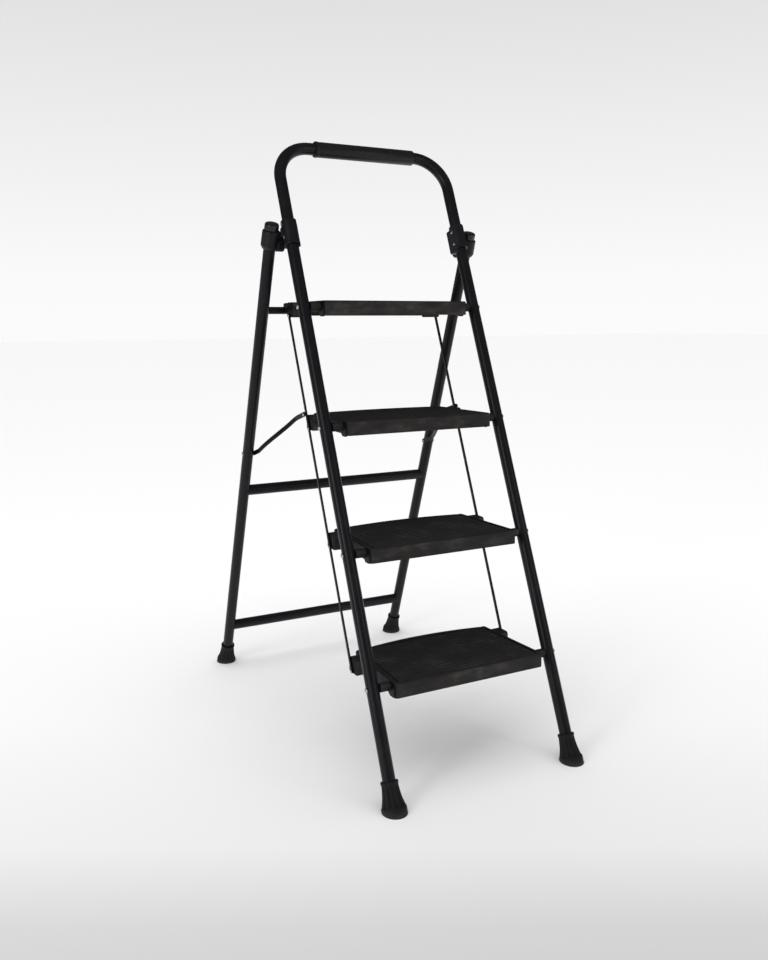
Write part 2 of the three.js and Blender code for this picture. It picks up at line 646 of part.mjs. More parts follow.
function hingeSleeve() {
  const x = FRONT_HALF_WIDTH;
  const length = SLEEVE_TO - SLEEVE_FROM;
  const lip = SLEEVE_RADIUS + SLEEVE_LIP;
  const sleeve = turned([
    [0, 0], [SLEEVE_RADIUS, 0], [lip, 1], [lip, 4], [SLEEVE_RADIUS, 5],
    [SLEEVE_RADIUS, length - SLEEVE_CHAMFER], [SLEEVE_RADIUS - SLEEVE_CHAMFER, length], [0, length],
  ], UP, 28);
  sleeve.translate(x, 0, SLEEVE_FROM);
  const flatFace = solid(box(x - 40, BRACKET_INNER_X, -60, 60, SLEEVE_FROM - 60, SLEEVE_TO + 60));
  const block = solid(extrudeAcross(roundedShape(BRACKET_OUTLINE), BRACKET_INNER_X, LOBE_X[1]));
  const lobe = solid(extrudeAcross(roundedShape(LOBE_OUTLINE), LOBE_X[0], LOBE_X[1]));
  const leg = rod(new THREE.Vector3(x, 0, SLEEVE_FROM - 60), new THREE.Vector3(x, 0, SLEEVE_TO + 60),
    TUBE_RADIUS + GAP, 28);
  let bracket = solid(sleeve).subtract(flatFace).add(block).add(lobe).subtract(solid(leg));
  for (const [behind, along] of HINGE_RIVETS) {
    bracket = bracket.subtract(solid(rodAcross(x - 30, x + 30, behind, along, PIN_RADIUS + GAP, 12)));
  }
  const pinHole = rodAcross(x - 30, x + 30, hingeBehind, hingeAlong, HINGE_PIN_RADIUS + GAP, 20);
  return toGeometry(bracket.subtract(solid(pinHole)));
}

const CHEEK_OUTER_X = 240;
const WEB_X = [234, 245];             // the web joins the cheek to the collar
const WEB_HALF_DEPTH = 13;
const COLLAR_BOTTOM = -12;            // along the rear leg, from the hinge axis

const hingePin = headedPin(4 - CHEEK_OUTER_X, -LOBE_X[0] + 0.2, HINGE_PIN_RADIUS, 7, 3.5);
const rivetOuter = FRONT_HALF_WIDTH + SLEEVE_RADIUS + 0.2;
const rivetInner = BRACKET_INNER_X - 0.2;
const rivetMiddle = (rivetInner + rivetOuter) / 2;
const hingeRivet = toGeometry(solid(headedPin(rivetMiddle - 1, rivetOuter, PIN_RADIUS, 4, 1.8))
  .add(solid(mirrored(headedPin(-rivetMiddle - 1, -rivetInner, PIN_RADIUS, 4, 1.8)))));

for (const [name, side] of sides) {
  const flip = side < 0 ? mirrored : (geometry) => geometry;
  place(`hinge_sleeve_${name}`, flip(hingeSleeve()), plastic(), null, leaning);
  const pinGeometry = side < 0 ? hingePin : mirrored(hingePin);
  place(`hinge_pin_${name}`, pinGeometry, zinc(), new THREE.Vector3(0, hingeBehind, hingeAlong), leaning);
  HINGE_RIVETS.forEach(([behind, along], i) => {
    const centre = new THREE.Vector3(0, behind, along);
    place(`hinge_rivet_${name}_${i + 1}`, flip(hingeRivet), zinc(), centre, leaning);
  });
}

function hingeCollar() {
  const centre = rearPoint(1, HINGE_HEIGHT);
  const direction = rearDirection(1);
  const at = (along) => centre.clone().addScaledVector(direction, along);
  const collarTop = (REAR_TUBE_TOP - HINGE_HEIGHT) / Math.cos(REAR_LEAN);
  const ring = turned([
    [0, COLLAR_BOTTOM], [COLLAR_RADIUS - 4, COLLAR_BOTTOM], [COLLAR_RADIUS, COLLAR_BOTTOM + 7],
    [COLLAR_RADIUS - 0.8, collarTop - 2], [COLLAR_RADIUS - 2.5, collarTop], [0, collarTop],
  ], direction, 28);
  ring.translate(centre.x, centre.y, centre.z);
  const cheek = solid(rodAcross(LOBE_X[1] + 2.5, CHEEK_OUTER_X, hingeY, HINGE_HEIGHT, CHEEK_RADIUS, 28));
  const pad = solid(rodAcross(LOBE_X[1] + GAP, LOBE_X[1] + 9, hingeY, HINGE_HEIGHT, 9, 24));
  const web = box(WEB_X[0], WEB_X[1], -WEB_HALF_DEPTH, WEB_HALF_DEPTH, 0, collarTop);
  web.rotateX(REAR_LEAN);
  web.translate(0, hingeY, HINGE_HEIGHT);
  const leg = rod(at(-60), at(60), TUBE_RADIUS + GAP, 28);
  const whole = solid(ring).add(cheek).add(pad).add(solid(web)).subtract(solid(leg));
  const pinHole = rodAcross(LOBE_X[0], WEB_X[1], hingeY, HINGE_HEIGHT, HINGE_PIN_RADIUS + GAP, 20);
  return toGeometry(whole.subtract(solid(pinHole)));
}

// The cap closes the top of the rear leg with a plug inside the tube.
const PLUG_RADIUS = TUBE_RADIUS - TUBE_WALL - GAP;
const CAP_PROFILE = [
  [0, -14], [PLUG_RADIUS, -14], [PLUG_RADIUS, GAP], [15.4, GAP],
  [15.9, 2], [15.6, 12.5], [14, 15.5], [10, 17.2], [0, 17.8],
];

for (const [name, side] of sides) {
  place(`hinge_collar_${name}`, side < 0 ? mirrored(hingeCollar()) : hingeCollar(), plastic());
  const cap = turned(CAP_PROFILE, rearDirection(side), 28);
  place(`rear_leg_cap_${name}`, cap, plastic(), rearPoint(side, REAR_TUBE_TOP));
}

// The origin is moved to the middle of the footprint.
const extent = new THREE.Box3().setFromObject(ladder);
ladder.position.y = -(extent.min.y + extent.max.y) / 2;

export default ladder;
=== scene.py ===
import json
import math

import bmesh
import bpy
from mathutils import Matrix, Vector


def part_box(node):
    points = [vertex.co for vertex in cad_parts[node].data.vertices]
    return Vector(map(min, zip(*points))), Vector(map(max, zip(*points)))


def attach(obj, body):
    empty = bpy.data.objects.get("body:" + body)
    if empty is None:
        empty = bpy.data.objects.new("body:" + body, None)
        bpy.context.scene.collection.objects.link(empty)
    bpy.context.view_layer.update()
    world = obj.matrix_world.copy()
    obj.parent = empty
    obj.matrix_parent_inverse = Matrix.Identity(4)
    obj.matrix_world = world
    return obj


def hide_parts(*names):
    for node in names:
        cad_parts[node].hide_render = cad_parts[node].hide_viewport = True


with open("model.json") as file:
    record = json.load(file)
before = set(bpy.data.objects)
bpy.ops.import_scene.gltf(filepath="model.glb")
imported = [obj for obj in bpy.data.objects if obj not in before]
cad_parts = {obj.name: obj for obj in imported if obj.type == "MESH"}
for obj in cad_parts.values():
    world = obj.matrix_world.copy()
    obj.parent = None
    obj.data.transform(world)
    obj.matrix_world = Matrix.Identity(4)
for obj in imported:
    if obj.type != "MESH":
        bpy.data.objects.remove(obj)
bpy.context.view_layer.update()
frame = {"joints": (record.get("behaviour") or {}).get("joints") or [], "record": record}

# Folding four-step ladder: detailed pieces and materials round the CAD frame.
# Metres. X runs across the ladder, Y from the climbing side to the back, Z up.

MM = 0.001
X_AXIS = Vector((1, 0, 0))
SIDES = (("left", -1), ("right", 1))
STEP_COUNT = 4

# ---- places taken from the frame ----
joints = {joint["name"]: joint for joint in frame["joints"]}
mounts = {mount["name"]: mount for mount in frame["record"]["mounts"]}
step_pivots = [Vector(joints[f"step_{i}_fold"]["pos_m"]) for i in range(1, STEP_COUNT + 1)]
hinge_point = Vector(joints["rear_fold"]["pos_m"])
bar_pin_point = Vector(joints["side_bar_swing"]["pos_m"])
link_low_point = Vector(joints["lift_link_swing"]["pos_m"])
front_foot_point = Vector(mounts["front_foot_right_base"]["pos_m"])
rear_foot_point = Vector(mounts["rear_foot_right_base"]["pos_m"])

front_up = (step_pivots[-1] - step_pivots[0]).normalized()
front_behind = front_up.cross(X_AXIS)
FRONT_X = front_foot_point.x
LEG_START = Vector((0, front_foot_point.y, 0))       # where the front leg axes meet the floor
REAR_RUN = (rear_foot_point.y - hinge_point.y) / hinge_point.z
rivet_low, rivet_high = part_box("lift_link_bar_rivet_right")
link_high_point = (rivet_low + rivet_high) / 2
pin_offset = bar_pin_point - step_pivots[-1]

# ---- sizes of the frame ----
TUBE_RADIUS = 13.2 * MM
LEG_END = 8.3 * MM               # the tubes stop inside the rubber feet
LEG_GAP = 0.15 * MM              # between a leg and the plastic round it
HANDLE_HEIGHT = 1321 * MM
HANDLE_BEND_RADIUS = 80 * MM
GRIP_RADIUS = 17 * MM
GRIP_HALF = 128 * MM
GRIP_SHIFT = 6.5 * MM            # the grip sits a little off the middle
GRIP_FLANGE = 0.7 * MM
FOOT_FLUTES = 11
FLUTE_DEPTH = 0.13               # share of the foot's radius
REAR_SPLAY = 0.008               # rear leg: run inwards per unit of height
REAR_TUBE_TOP = 1132 * MM

# ---- sizes of the treads, from each pivot axis ----
STEP_TOP = 13.5 * MM
STEP_BOTTOM = -17.5 * MM
STEP_FRONT = -30 * MM
STEP_REAR_BOW = 17 * MM          # how far the rear edge curves out in its middle
STEP_HALF_FRONT = 180 * MM
LOWER_TREAD = {"rear": 182.5 * MM, "half_rear": 169 * MM}
TOP_TREAD = {"rear": 232 * MM, "half_rear": 176 * MM}
STEP_FRONT_CORNER = 9 * MM
STEP_REAR_CORNER = 12 * MM
STEP_WALL = 3.5 * MM
FRONT_EDGE = 7 * MM              # rounding of the tread's upper edge in front
REAR_EDGE = 11 * MM              # and behind
SIDE_EDGE = 4 * MM               # and at the sides
ARCH_FROM = 2 * MM               # the side wall is raised between these places
ARCH_TO = 118 * MM
ARCH_TOP = -14.5 * MM
WALL_LOW = -20.5 * MM
HEEL_FROM = -18 * MM
HEEL_TOP = -3 * MM
BOSS_RADIUS = 9.6 * MM
BOSS_INNER = 160 * MM            # inner end of the pivot boss
LUG_TO = 157 * MM                # the lug for the side bar starts where the arch ends
LUG_TOP = 13 * MM
LUG_INNER = 166 * MM
LUG_OUTER = 193.2 * MM
LUG_GROOVES = [y * MM for y in (124, 133, 142, 151)]
OVERHANG_FROM = 152 * MM         # the top tread's shallow part
OVERHANG_BOTTOM = 4 * MM
# The grid of thin ribs underneath
STIFFENERS_ALONG = [x * MM for x in (-116, -58, 0, 58, 116)]
STIFFENERS_ACROSS = [y * MM for y in (22, 72, 122)]
STIFFENER_HALF = 1.25 * MM
STIFFENER_LOW = -12 * MM
RIB_PITCH = 11.4 * MM            # anti-slip ribs
RIB_HALF = 3.9 * MM
RIB_HEIGHT = 2.7 * MM
RIB_BORDER = 12 * MM
RIB_REAR_BORDER = 16 * MM
PAD_SINK = 2.6 * MM              # depth of the field that holds the anti-slip ribs

# ---- sizes of the strips ----
STRIP = 3 * MM
BAR_INNER = 193.5 * MM
BAR_OUTER = BAR_INNER + STRIP
BAR_HALF_WIDTH = 4 * MM
LINK_INNER = 199.3 * MM
LINK_OUTER = 240.5 * MM
LINK_HALF_WIDTH = 5.5 * MM
LINK_END_SLOPE = math.radians(15.5)
LINK_LOW_END = 44 * MM
LINK_HIGH_END = 52 * MM
LINK_BEND = 9 * MM               # length taken by half a bend
LINK_JOG_FROM = 50 * MM          # where the strip starts to lean inwards, from either end

# ---- sizes of the hinges ----
SLEEVE_RADIUS = 17.4 * MM
SLEEVE_FROM = 1198 * MM
SLEEVE_TO = 1259 * MM
COLLAR_RADIUS = 20.2 * MM
COLLAR_BOTTOM = -12 * MM
CHEEK_RADIUS = 17 * MM
CHEEK_OUTER = 240 * MM
BRACKET_INNER = 200.5 * MM       # flat inner face of the bracket on the front leg
LOBE_INNER = 214 * MM
LOBE_OUTER = 221 * MM
HINGE_RIVETS = ((-1 * MM, 1211 * MM), (-1 * MM, 1241 * MM))
LEFT_BRACKET_DROP = 7            # millimetres; the left bracket sits a little lower on its leg
MELT_VOXEL = 0.7 * MM            # grain of the skin that joins moulded shapes

# Outlines in the leg's own frame, in millimetres: behind the leg axis, along the leg, corner radius.
BRACKET_OUTLINE = ((-9.5, 1185, 2), (23.5, 1196, 2), (22.5, 1252, 3), (-9.5, 1248.5, 3))
LOBE_OUTLINE = (
    (0, 1186, 0), (14, 1189, 3), (41, 1205.5, 4), (42.5, 1259.5, 3), (14, 1259.5, 2), (0, 1256, 0))

# ---- camera and studio ----
CAMERA_YAW = 0.4782
CAMERA_PITCH = 0.1732
CAMERA_ROLL = 0.0064
CAMERA_PLACE = Vector((-0.9553, -1.3905, 0.9272)) + LEG_START
FOCAL_LENGTH = 0.92219           # in picture heights
SENSOR = 36                      # millimetres
BACKDROP = 0.965                 # brightness of the backdrop at the horizon
BACKDROP_HIGH = 0.72             # and well above the ladder
FLOOR_LIGHT = 1.02               # light on the far floor
FLOOR_ALBEDO = 0.88
FLOOR_HALF = 60                  # half the side of the square floor
SKY_ON_FLOOR = 0.72              # share of the floor's brightness that comes from the surroundings
SKY_IN_GLOSS = 0.08              # brightness of the surroundings as seen in reflections


# ---- mesh building ----
def add_object(name, data):
    thing = bpy.data.objects.new(name, data)
    bpy.context.scene.collection.objects.link(thing)
    return thing


def new_object(name, part):
    """A new object from a part, which is a pair of vertices and faces."""
    verts, faces = part
    mesh = bpy.data.meshes.new(name)
    mesh.from_pydata([tuple(v) for v in verts], [], faces)
    return add_object(name, mesh)


def make_piece(name, part, material, body, replaces, sharp_angle=35):
    return finish_piece(new_object(name, part), material, body, replaces, sharp_angle)


def finish_piece(piece, material, body, replaces, sharp_angle=35):
    piece.data.materials.clear()
    piece.data.materials.append(material)
    smooth_with_sharp_edges(piece.data, sharp_angle)
    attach(piece, body)
    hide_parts(*replaces)
    return piece


def smooth_with_sharp_edges(mesh, sharp_angle):
    work = bmesh.new()
    work.from_mesh(mesh)
    bmesh.ops.recalc_face_normals(work, faces=work.faces)
    limit = math.radians(sharp_angle)
    for face in work.faces:
        face.smooth = True
    for edge in work.edges:
        edge.smooth = edge.is_manifold and edge.calc_face_angle(0) < limit
    work.to_mesh(mesh)
    work.free()


def closed_skin(rings, size):
    """Faces over rings of equal size: quads between neighbours, and a flat face at either end."""
    faces = []
    for i in range(rings - 1):
        for j in range(size):
            k = (j + 1) % size
            faces.append((i * size + j, i * size + k, (i + 1) * size + k, (i + 1) * size + j))
    faces.append(tuple(reversed(range(size))))
    faces.append(tuple(range((rings - 1) * size, rings * size)))
    return faces


def curve_points(a, b, c, steps):
    """Points of the curve that leaves a towards b and ends at c."""
    points = []
    for k in range(steps + 1):
        t = k / steps
        points.append(a * (1 - t) ** 2 + b * 2 * t * (1 - t) + c * t ** 2)
    return points


def merge(parts):
    """Joins (verts, faces) parts into one."""
    verts, faces = [], []
    for part_verts, part_faces in parts:
        shift = len(verts)
        verts.extend(part_verts)
        faces.extend(tuple(i + shift for i in face) for face in part_faces)
    return verts, faces


def mirror_x(part):
    verts, faces = part
    return [Vector((-v.x, v.y, v.z)) for v in verts], [tuple(reversed(face)) for face in faces]


def sided(part, side):
    return part if side > 0 else mirror_x(part)


def swept_tube(path, radius, sides=48):
    """A round bar along a path of points, with flat ends."""
    verts = []
    normal = None
    for i, point in enumerate(path):
        ahead = path[min(i + 1, len(path) - 1)] - path[min(i, len(path) - 2)]
        behind = path[max(i, 1)] - path[max(i - 1, 0)]
        tangent = (ahead.normalized() + behind.normalized()).normalized()
        if normal is None:
            normal = tangent.orthogonal().normalized()
        normal = (normal - tangent * normal.dot(tangent)).normalized()
        other = tangent.cross(normal)
        for j in range(sides):
            angle = 2 * math.pi * j / sides
            verts.append(point + (normal * math.cos(angle) + other * math.sin(angle)) * radius)
    return verts, closed_skin(len(path), sides)


def turned(profile, origin, axis, sides=64, ripple=None):
    """A turned solid. The profile lists (radius, distance along the axis).
    It starts and ends on the axis, or closes on itself. ripple(angle, index) scales its radius."""
    axis = axis.normalized()
    side = axis.orthogonal().normalized()
    if abs(axis.x) < 0.9:
        side = (X_AXIS - axis * axis.x).normalized()
    other = axis.cross(side)
    closed_loop = profile[0][0] > 0
    verts, faces = [], []
    rows = []
    for index, (radius, along) in enumerate(profile):
        centre = origin + axis * along
        if radius == 0:
            rows.append([len(verts)])
            verts.append(centre)
            continue
        row = []
        for j in range(sides):
            angle = 2 * math.pi * j / sides
            scale = ripple(angle, index) if ripple else 1
            row.append(len(verts))
            verts.append(centre + (side * math.cos(angle) + other * math.sin(angle)) * radius * scale)
        rows.append(row)
    pairs = list(zip(rows, rows[1:]))
    if closed_loop:
        pairs.append((rows[-1], rows[0]))
    for low, high in pairs:
        for j in range(sides):
            k = (j + 1) % sides
            if len(low) == 1:
                faces.append((low[0], high[k], high[j]))
            elif len(high) == 1:
                faces.append((low[j], low[k], high[0]))
            else:
                faces.append((low[j], low[k], high[k], high[j]))
    return verts, faces


def rounded_profile(profile, radius, steps=3):
    """Rounds the inner corners of a profile that starts and ends on the axis."""
    result = [profile[0]]
    for before, here, after in zip(profile, profile[1:], profile[2:]):
        a, b, c = Vector(before), Vector(here), Vector(after)
        reach = min(radius, (a - b).length * 0.45, (c - b).length * 0.45)
        start = b + (a - b).normalized() * reach
        end = b + (c - b).normalized() * reach
        result += [tuple(point) for point in curve_points(start, b, end, steps)]
    result.append(profile[-1])
    return result


def rounded_outline(corners, steps=5):
    """A closed 2-D outline with round corners; each corner is (a, b, radius)."""
    points = []
    count = len(corners)
    for i, (a, b, radius) in enumerate(corners):
        here = Vector((a, b))
        if radius <= 0:
            points.append(here)
            continue
        before = Vector(corners[i - 1][:2])
        after = Vector(corners[(i + 1) % count][:2])
        into = (before - here).normalized()
        out = (after - here).normalized()
        half = into.angle(out) / 2
        shorter = min((before - here).length, (after - here).length)
        reach = min(radius / math.tan(half), shorter * 0.49)
        points += curve_points(here + into * reach, here, here + out * reach, steps)
    return points


def inward_normals(points):
    """For each point of a counter-clockwise outline, the direction into it."""
    normals = []
    for i in range(len(points)):
        along = points[(i + 1) % len(points)] - points[i - 1]
        normals.append(Vector((-along.y, along.x)).normalized())
    return normals


def plate(outline, low, high, bevel, to_world):
    """A flat plate with rounded rims. The outline is 2-D and counter-clockwise.
    to_world(a, b, height) places its points."""
    normals = inward_normals(outline)
    rim_steps = 3
    turns = [math.pi / 2 * k / rim_steps for k in range(rim_steps + 1)]
    levels = [(bevel * (1 - math.sin(t)), low + bevel * (1 - math.cos(t))) for t in turns]
    levels += [(bevel * (1 - math.cos(t)), high - bevel * (1 - math.sin(t))) for t in turns]
    verts = []
    for inset, height in levels:
        for point, normal in zip(outline, normals):
            inner = point + normal * inset
            verts.append(to_world(inner.x, inner.y, height))
    return verts, closed_skin(len(levels), len(outline))


def across(outline, x0, x1, bevel=0.6 * MM):
    """A plate that stands in the Y-Z plane, from x0 to x1."""
    return plate(outline, x0, x1, bevel, lambda a, b, height: Vector((height, a, b)))


def temporary(part):
    """A solid for cutting and joining, with its faces turned outwards."""
    solid = new_object("solid", part)
    work = bmesh.new()
    work.from_mesh(solid.data)
    bmesh.ops.recalc_face_normals(work, faces=work.faces)
    work.to_mesh(solid.data)
    work.free()
    return solid


def apply_modifiers(target):
    bpy.context.view_layer.update()
    depsgraph = bpy.context.evaluated_depsgraph_get()
    mesh = bpy.data.meshes.new_from_object(target.evaluated_get(depsgraph))
    target.modifiers.clear()
    old = target.data
    target.data = mesh
    bpy.data.meshes.remove(old)


def combine(target, parts, operation):
    """Joins the parts to the target, or cuts them from it, one after another."""
    for part in parts:
        cutter = temporary(part)
        modifier = target.modifiers.new("cut", "BOOLEAN")
        modifier.operation = operation
        modifier.solver = "EXACT"
        modifier.object = cutter
        apply_modifiers(target)
        bpy.data.objects.remove(cutter)
    return target


def soften(target, voxel, smoothing):
    """Melts joined shapes into one moulded skin with small fillets."""
    remesh = target.modifiers.new("melt", "REMESH")
    remesh.mode = "VOXEL"
    remesh.voxel_size = voxel
    smooth = target.modifiers.new("soften", "SMOOTH")
    smooth.factor = 0.5
    smooth.iterations = smoothing
    apply_modifiers(target)


def box_part(low, high):
    x0, y0, z0 = low
    x1, y1, z1 = high
    verts = [Vector((x, y, z)) for z in (z0, z1) for y in (y0, y1) for x in (x0, x1)]
    faces = [(0, 2, 3, 1), (4, 5, 7, 6), (0, 1, 5, 4), (2, 6, 7, 3), (0, 4, 6, 2), (1, 3, 7, 5)]
    return verts, faces


# ---- materials ----
class Shading:
    """The node tree of a material or world, with the few kinds of node that are needed here."""

    def __init__(self, owner):
        owner.use_nodes = True
        self.nodes = owner.node_tree.nodes
        self.links = owner.node_tree.links
        self.place = self.add("TexCoord", {})

    def add(self, kind, inputs, **settings):
        node = self.nodes.new("ShaderNode" + kind)
        for name, value in settings.items():
            setattr(node, name, value)
        self.fill(node, inputs)
        return node

    def fill(self, node, inputs):
        """Each input takes a plain value or another node's output."""
        for name, value in inputs.items():
            if isinstance(value, bpy.types.NodeSocket):
                self.links.new(value, node.inputs[name])
            else:
                node.inputs[name].default_value = value

    def fill_shader(self, colour, roughness, specular, normal):
        self.fill(self.nodes["Principled BSDF"], {
            "Base Color": colour, "Roughness": roughness, "Specular IOR Level": specular, "Normal": normal})

    def noise(self, scale, detail, roughness=0.5, stretch=None):
        place = self.place.outputs["Object"]
        if stretch:
            place = self.add("Mapping", {"Vector": place, "Scale": stretch}).outputs["Vector"]
        inputs = {"Vector": place, "Scale": scale, "Detail": detail, "Roughness": roughness}
        return self.add("TexNoise", inputs).outputs["Fac"]

    def ramp(self, source, stops):
        """Colours or greys along a 0 to 1 value; each stop is (position, colour)."""
        band = self.add("ValToRGB", {"Fac": source})
        elements = band.color_ramp.elements
        while len(elements) < len(stops):
            elements.new(0.5)
        for element, (position, colour) in zip(elements, stops):
            element.position = position
            grey = isinstance(colour, (int, float))
            element.color = (colour, colour, colour, 1) if grey else (*colour, 1)
        return band.outputs["Color"]

    def spread(self, source, low, high):
        """Maps a 0 to 1 value onto low to high."""
        return self.add("MapRange", {"Value": source, "To Min": low, "To Max": high}).outputs["Result"]

    def fraction(self, source, start, end):
        """0 where the source is at its start, 1 where it is at its end."""
        return self.add("MapRange", {"Value": source, "From Min": start, "From Max": end}).outputs["Result"]

    def calculate(self, operation, first, second=0.5):
        return self.add("Math", {0: first, 1: second}, operation=operation).outputs["Value"]

    def mix(self, factor, first, second):
        node = self.add("Mix", {"Factor": factor, "A": first, "B": second}, data_type="RGBA")
        return node.outputs["Result"]

    def split(self, source):
        return self.add("SeparateXYZ", {"Vector": source}).outputs

    def bump(self, height, distance, strength, below=None):
        inputs = {"Height": height, "Distance": distance, "Strength": strength}
        if below:
            inputs["Normal"] = below
        return self.add("Bump", inputs).outputs["Normal"]


def painted_steel():
    """Satin black powder coat: fine orange peel and soft variation in tint and gloss."""
    material = bpy.data.materials.new("black_powder_coat")
    look = Shading(material)
    tint = look.ramp(look.noise(22, 4), [
        (0.30, (0.0055, 0.0055, 0.0072)), (0.55, (0.0070, 0.0069, 0.0092)), (0.75, (0.0095, 0.0093, 0.0115))])
    gloss = look.spread(look.noise(60, 5, 0.6), 0.24, 0.42)
    peel = look.bump(look.noise(480, 2), 0.00012, 0.5)
    look.fill_shader(tint, gloss, 0.22, look.bump(look.noise(1900, 2), 0.00003, 0.5, peel))
    return material


def moulded_plastic(name, dark, light, rough, specular, grain_scale=1500, grain_depth=0.00008):
    """Moulded plastic with a spark-eroded grain, softly clouded."""
    material = bpy.data.materials.new(name)
    look = Shading(material)
    cloud = look.noise(35, 5, 0.6)
    tint = look.ramp(cloud, [(0.3, dark), (0.72, light)])
    grain = look.bump(look.noise(grain_scale, 2, 0.6), grain_depth, 0.6)
    look.fill_shader(tint, look.spread(cloud, *rough), specular, grain)
    return material


def step_plastic():
    """Matt black tread plastic: grain, dull scuffs on the front faces, and painted shade that darkens the
    faces pointing to the sides.
    """
    material = bpy.data.materials.new("tread_plastic")
    look = Shading(material)
    base = look.ramp(look.noise(30, 5, 0.6), [(0.3, (0.010, 0.010, 0.012)), (0.7, (0.015, 0.0145, 0.016))])
    scuff = look.noise(14, 6, 0.65, stretch=(1.0, 1.0, 2.2))
    worn = look.ramp(scuff, [
        (0.34, (0.014, 0.0130, 0.0125)), (0.52, (0.023, 0.0212, 0.0202)), (0.68, (0.050, 0.046, 0.042))])
    facing = look.split(look.add("NewGeometry", {}).outputs["Normal"])
    edge = [(0.55, 0.0), (0.92, 1.0)]
    front = look.ramp(look.calculate("MULTIPLY", facing["Y"], -1), edge)
    # Painted shade: faces that point left or right are mixed towards near black, standing in for the shade
    # they fall in.
    side = look.ramp(look.calculate("ABSOLUTE", facing["X"]), edge)
    colour = look.mix(side, look.mix(front, base, worn), (0.0035, 0.0035, 0.0045, 1))
    grain = look.bump(look.noise(1300, 2, 0.6), 0.0001, 0.55)
    look.fill_shader(colour, look.spread(scuff, 0.42, 0.66), 0.14, grain)
    return material


def foot_rubber():
    """Matt rubber with a dusty bloom towards the floor."""
    material = bpy.data.materials.new("foot_rubber")
    look = Shading(material)
    cloud = look.noise(70, 5, 0.65)
    near_floor = look.fraction(look.split(look.place.outputs["Object"])["Z"], 12 * MM, 0.0)
    bloom = look.calculate("MULTIPLY", near_floor, cloud)
    base = look.ramp(cloud, [(0.3, (0.0045, 0.0044, 0.0054)), (0.75, (0.0080, 0.0078, 0.0088))])
    colour = look.mix(bloom, base, (0.045, 0.043, 0.040, 1))
    grain = look.bump(look.noise(1100, 3, 0.6), 0.00012, 0.6)
    look.fill_shader(colour, look.spread(cloud, 0.55, 0.75), 0.25, grain)
    return material


def bare_metal(name, dark, light, rough, scale):
    """Coated or plated steel with fine scratches and a clouded surface."""
    material = bpy.data.materials.new(name)
    look = Shading(material)
    look.fill(look.nodes["Principled BSDF"], {"Metallic": 1.0})
    cloud = look.noise(scale, 5, 0.65)
    tint = look.ramp(cloud, [(0.3, dark), (0.7, light)])
    scratch = look.bump(look.noise(900, 2, 0.6, stretch=(1.0, 1.0, 7.0)), 0.00004, 0.6)
    look.fill_shader(tint, look.spread(cloud, *rough), 0.5, scratch)
    return material


steel_paint = painted_steel()
tread_plastic = step_plastic()
rubber = foot_rubber()
grip_plastic = moulded_plastic(
    "grip_plastic", (0.0070, 0.0069, 0.0085), (0.0100, 0.0098, 0.0112), (0.34, 0.46), 0.32)
hinge_plastic = moulded_plastic(
    "hinge_plastic", (0.0068, 0.0064, 0.0088), (0.0098, 0.0093, 0.0120), (0.34, 0.46), 0.26)
cap_plastic = moulded_plastic(
    "cap_plastic", (0.0065, 0.0065, 0.0075), (0.0095, 0.0095, 0.0105), (0.12, 0.22), 0.55, 900, 0.00003)
zinc = bare_metal("zinc_plate", (0.36, 0.36, 0.37), (0.62, 0.62, 0.63), (0.22, 0.40), 160)
dark_strip = bare_metal("coated_strip", (0.012, 0.012, 0.0135), (0.028, 0.028, 0.030), (0.34, 0.52), 60)


# ---- front frame ----
def front_point(x, behind, along):
    """A point given across the ladder, behind the front leg axis, and along it from the floor."""
    return Vector((x, 0, 0)) + LEG_START + front_behind * behind + front_up * along


TOP_ALONG = HANDLE_HEIGHT / front_up.z


def front_tube():
    """Both front legs and the handrail: one tube, bent twice."""
    radius = HANDLE_BEND_RADIUS
    bend_start = TOP_ALONG - radius
    bend_centre = FRONT_X - radius
    bend_steps = 24
    leg_points = 12
    flat = [(-FRONT_X, LEG_END + (bend_start - LEG_END) * i / leg_points) for i in range(leg_points)]
    for centre, start in ((-bend_centre, math.pi), (bend_centre, math.pi / 2)):
        for i in range(bend_steps + 1):
            angle = start - math.pi / 2 * i / bend_steps
            flat.append((centre + radius * math.cos(angle), bend_start + radius * math.sin(angle)))
    flat += [(-x, along) for x, along in reversed(flat[:leg_points])]
    path = [front_point(x, 0, along) for x, along in flat]
    make_piece("front_tube", swept_tube(path, TUBE_RADIUS), steel_paint, "front_frame",
               ["front_frame_tube"])


front_tube()


def grip():
    """A moulded sleeve with a flange and a groove at one end and a taper at the other."""
    bore = TUBE_RADIUS + 0.2 * MM
    end = GRIP_HALF
    r = GRIP_RADIUS
    flange = r + GRIP_FLANGE
    groove = r - 0.5 * MM
    profile = [
        (bore, -end + 1 * MM), (bore + 1 * MM, -end), (r - 2 * MM, -end), (r, -end + 0.8 * MM),
        (flange, -end + 2.5 * MM), (flange, -end + 6.5 * MM), (flange - 0.4 * MM, -end + 7.4 * MM),
        (groove, -end + 8.2 * MM), (groove, -end + 9.4 * MM), (r, -end + 10.4 * MM), (r, 0),
        (r, end - 4.5 * MM), (groove, end - 3.4 * MM), (r - 3.4 * MM, end - 0.4 * MM),
        (bore + 0.8 * MM, end), (bore, end - 0.8 * MM),
    ]
    centre = front_point(GRIP_SHIFT, 0, TOP_ALONG)
    make_piece("grip_sleeve", turned(profile, centre, X_AXIS, 96), grip_plastic, "front_frame",
               ["hand_grip"], 28)


grip()


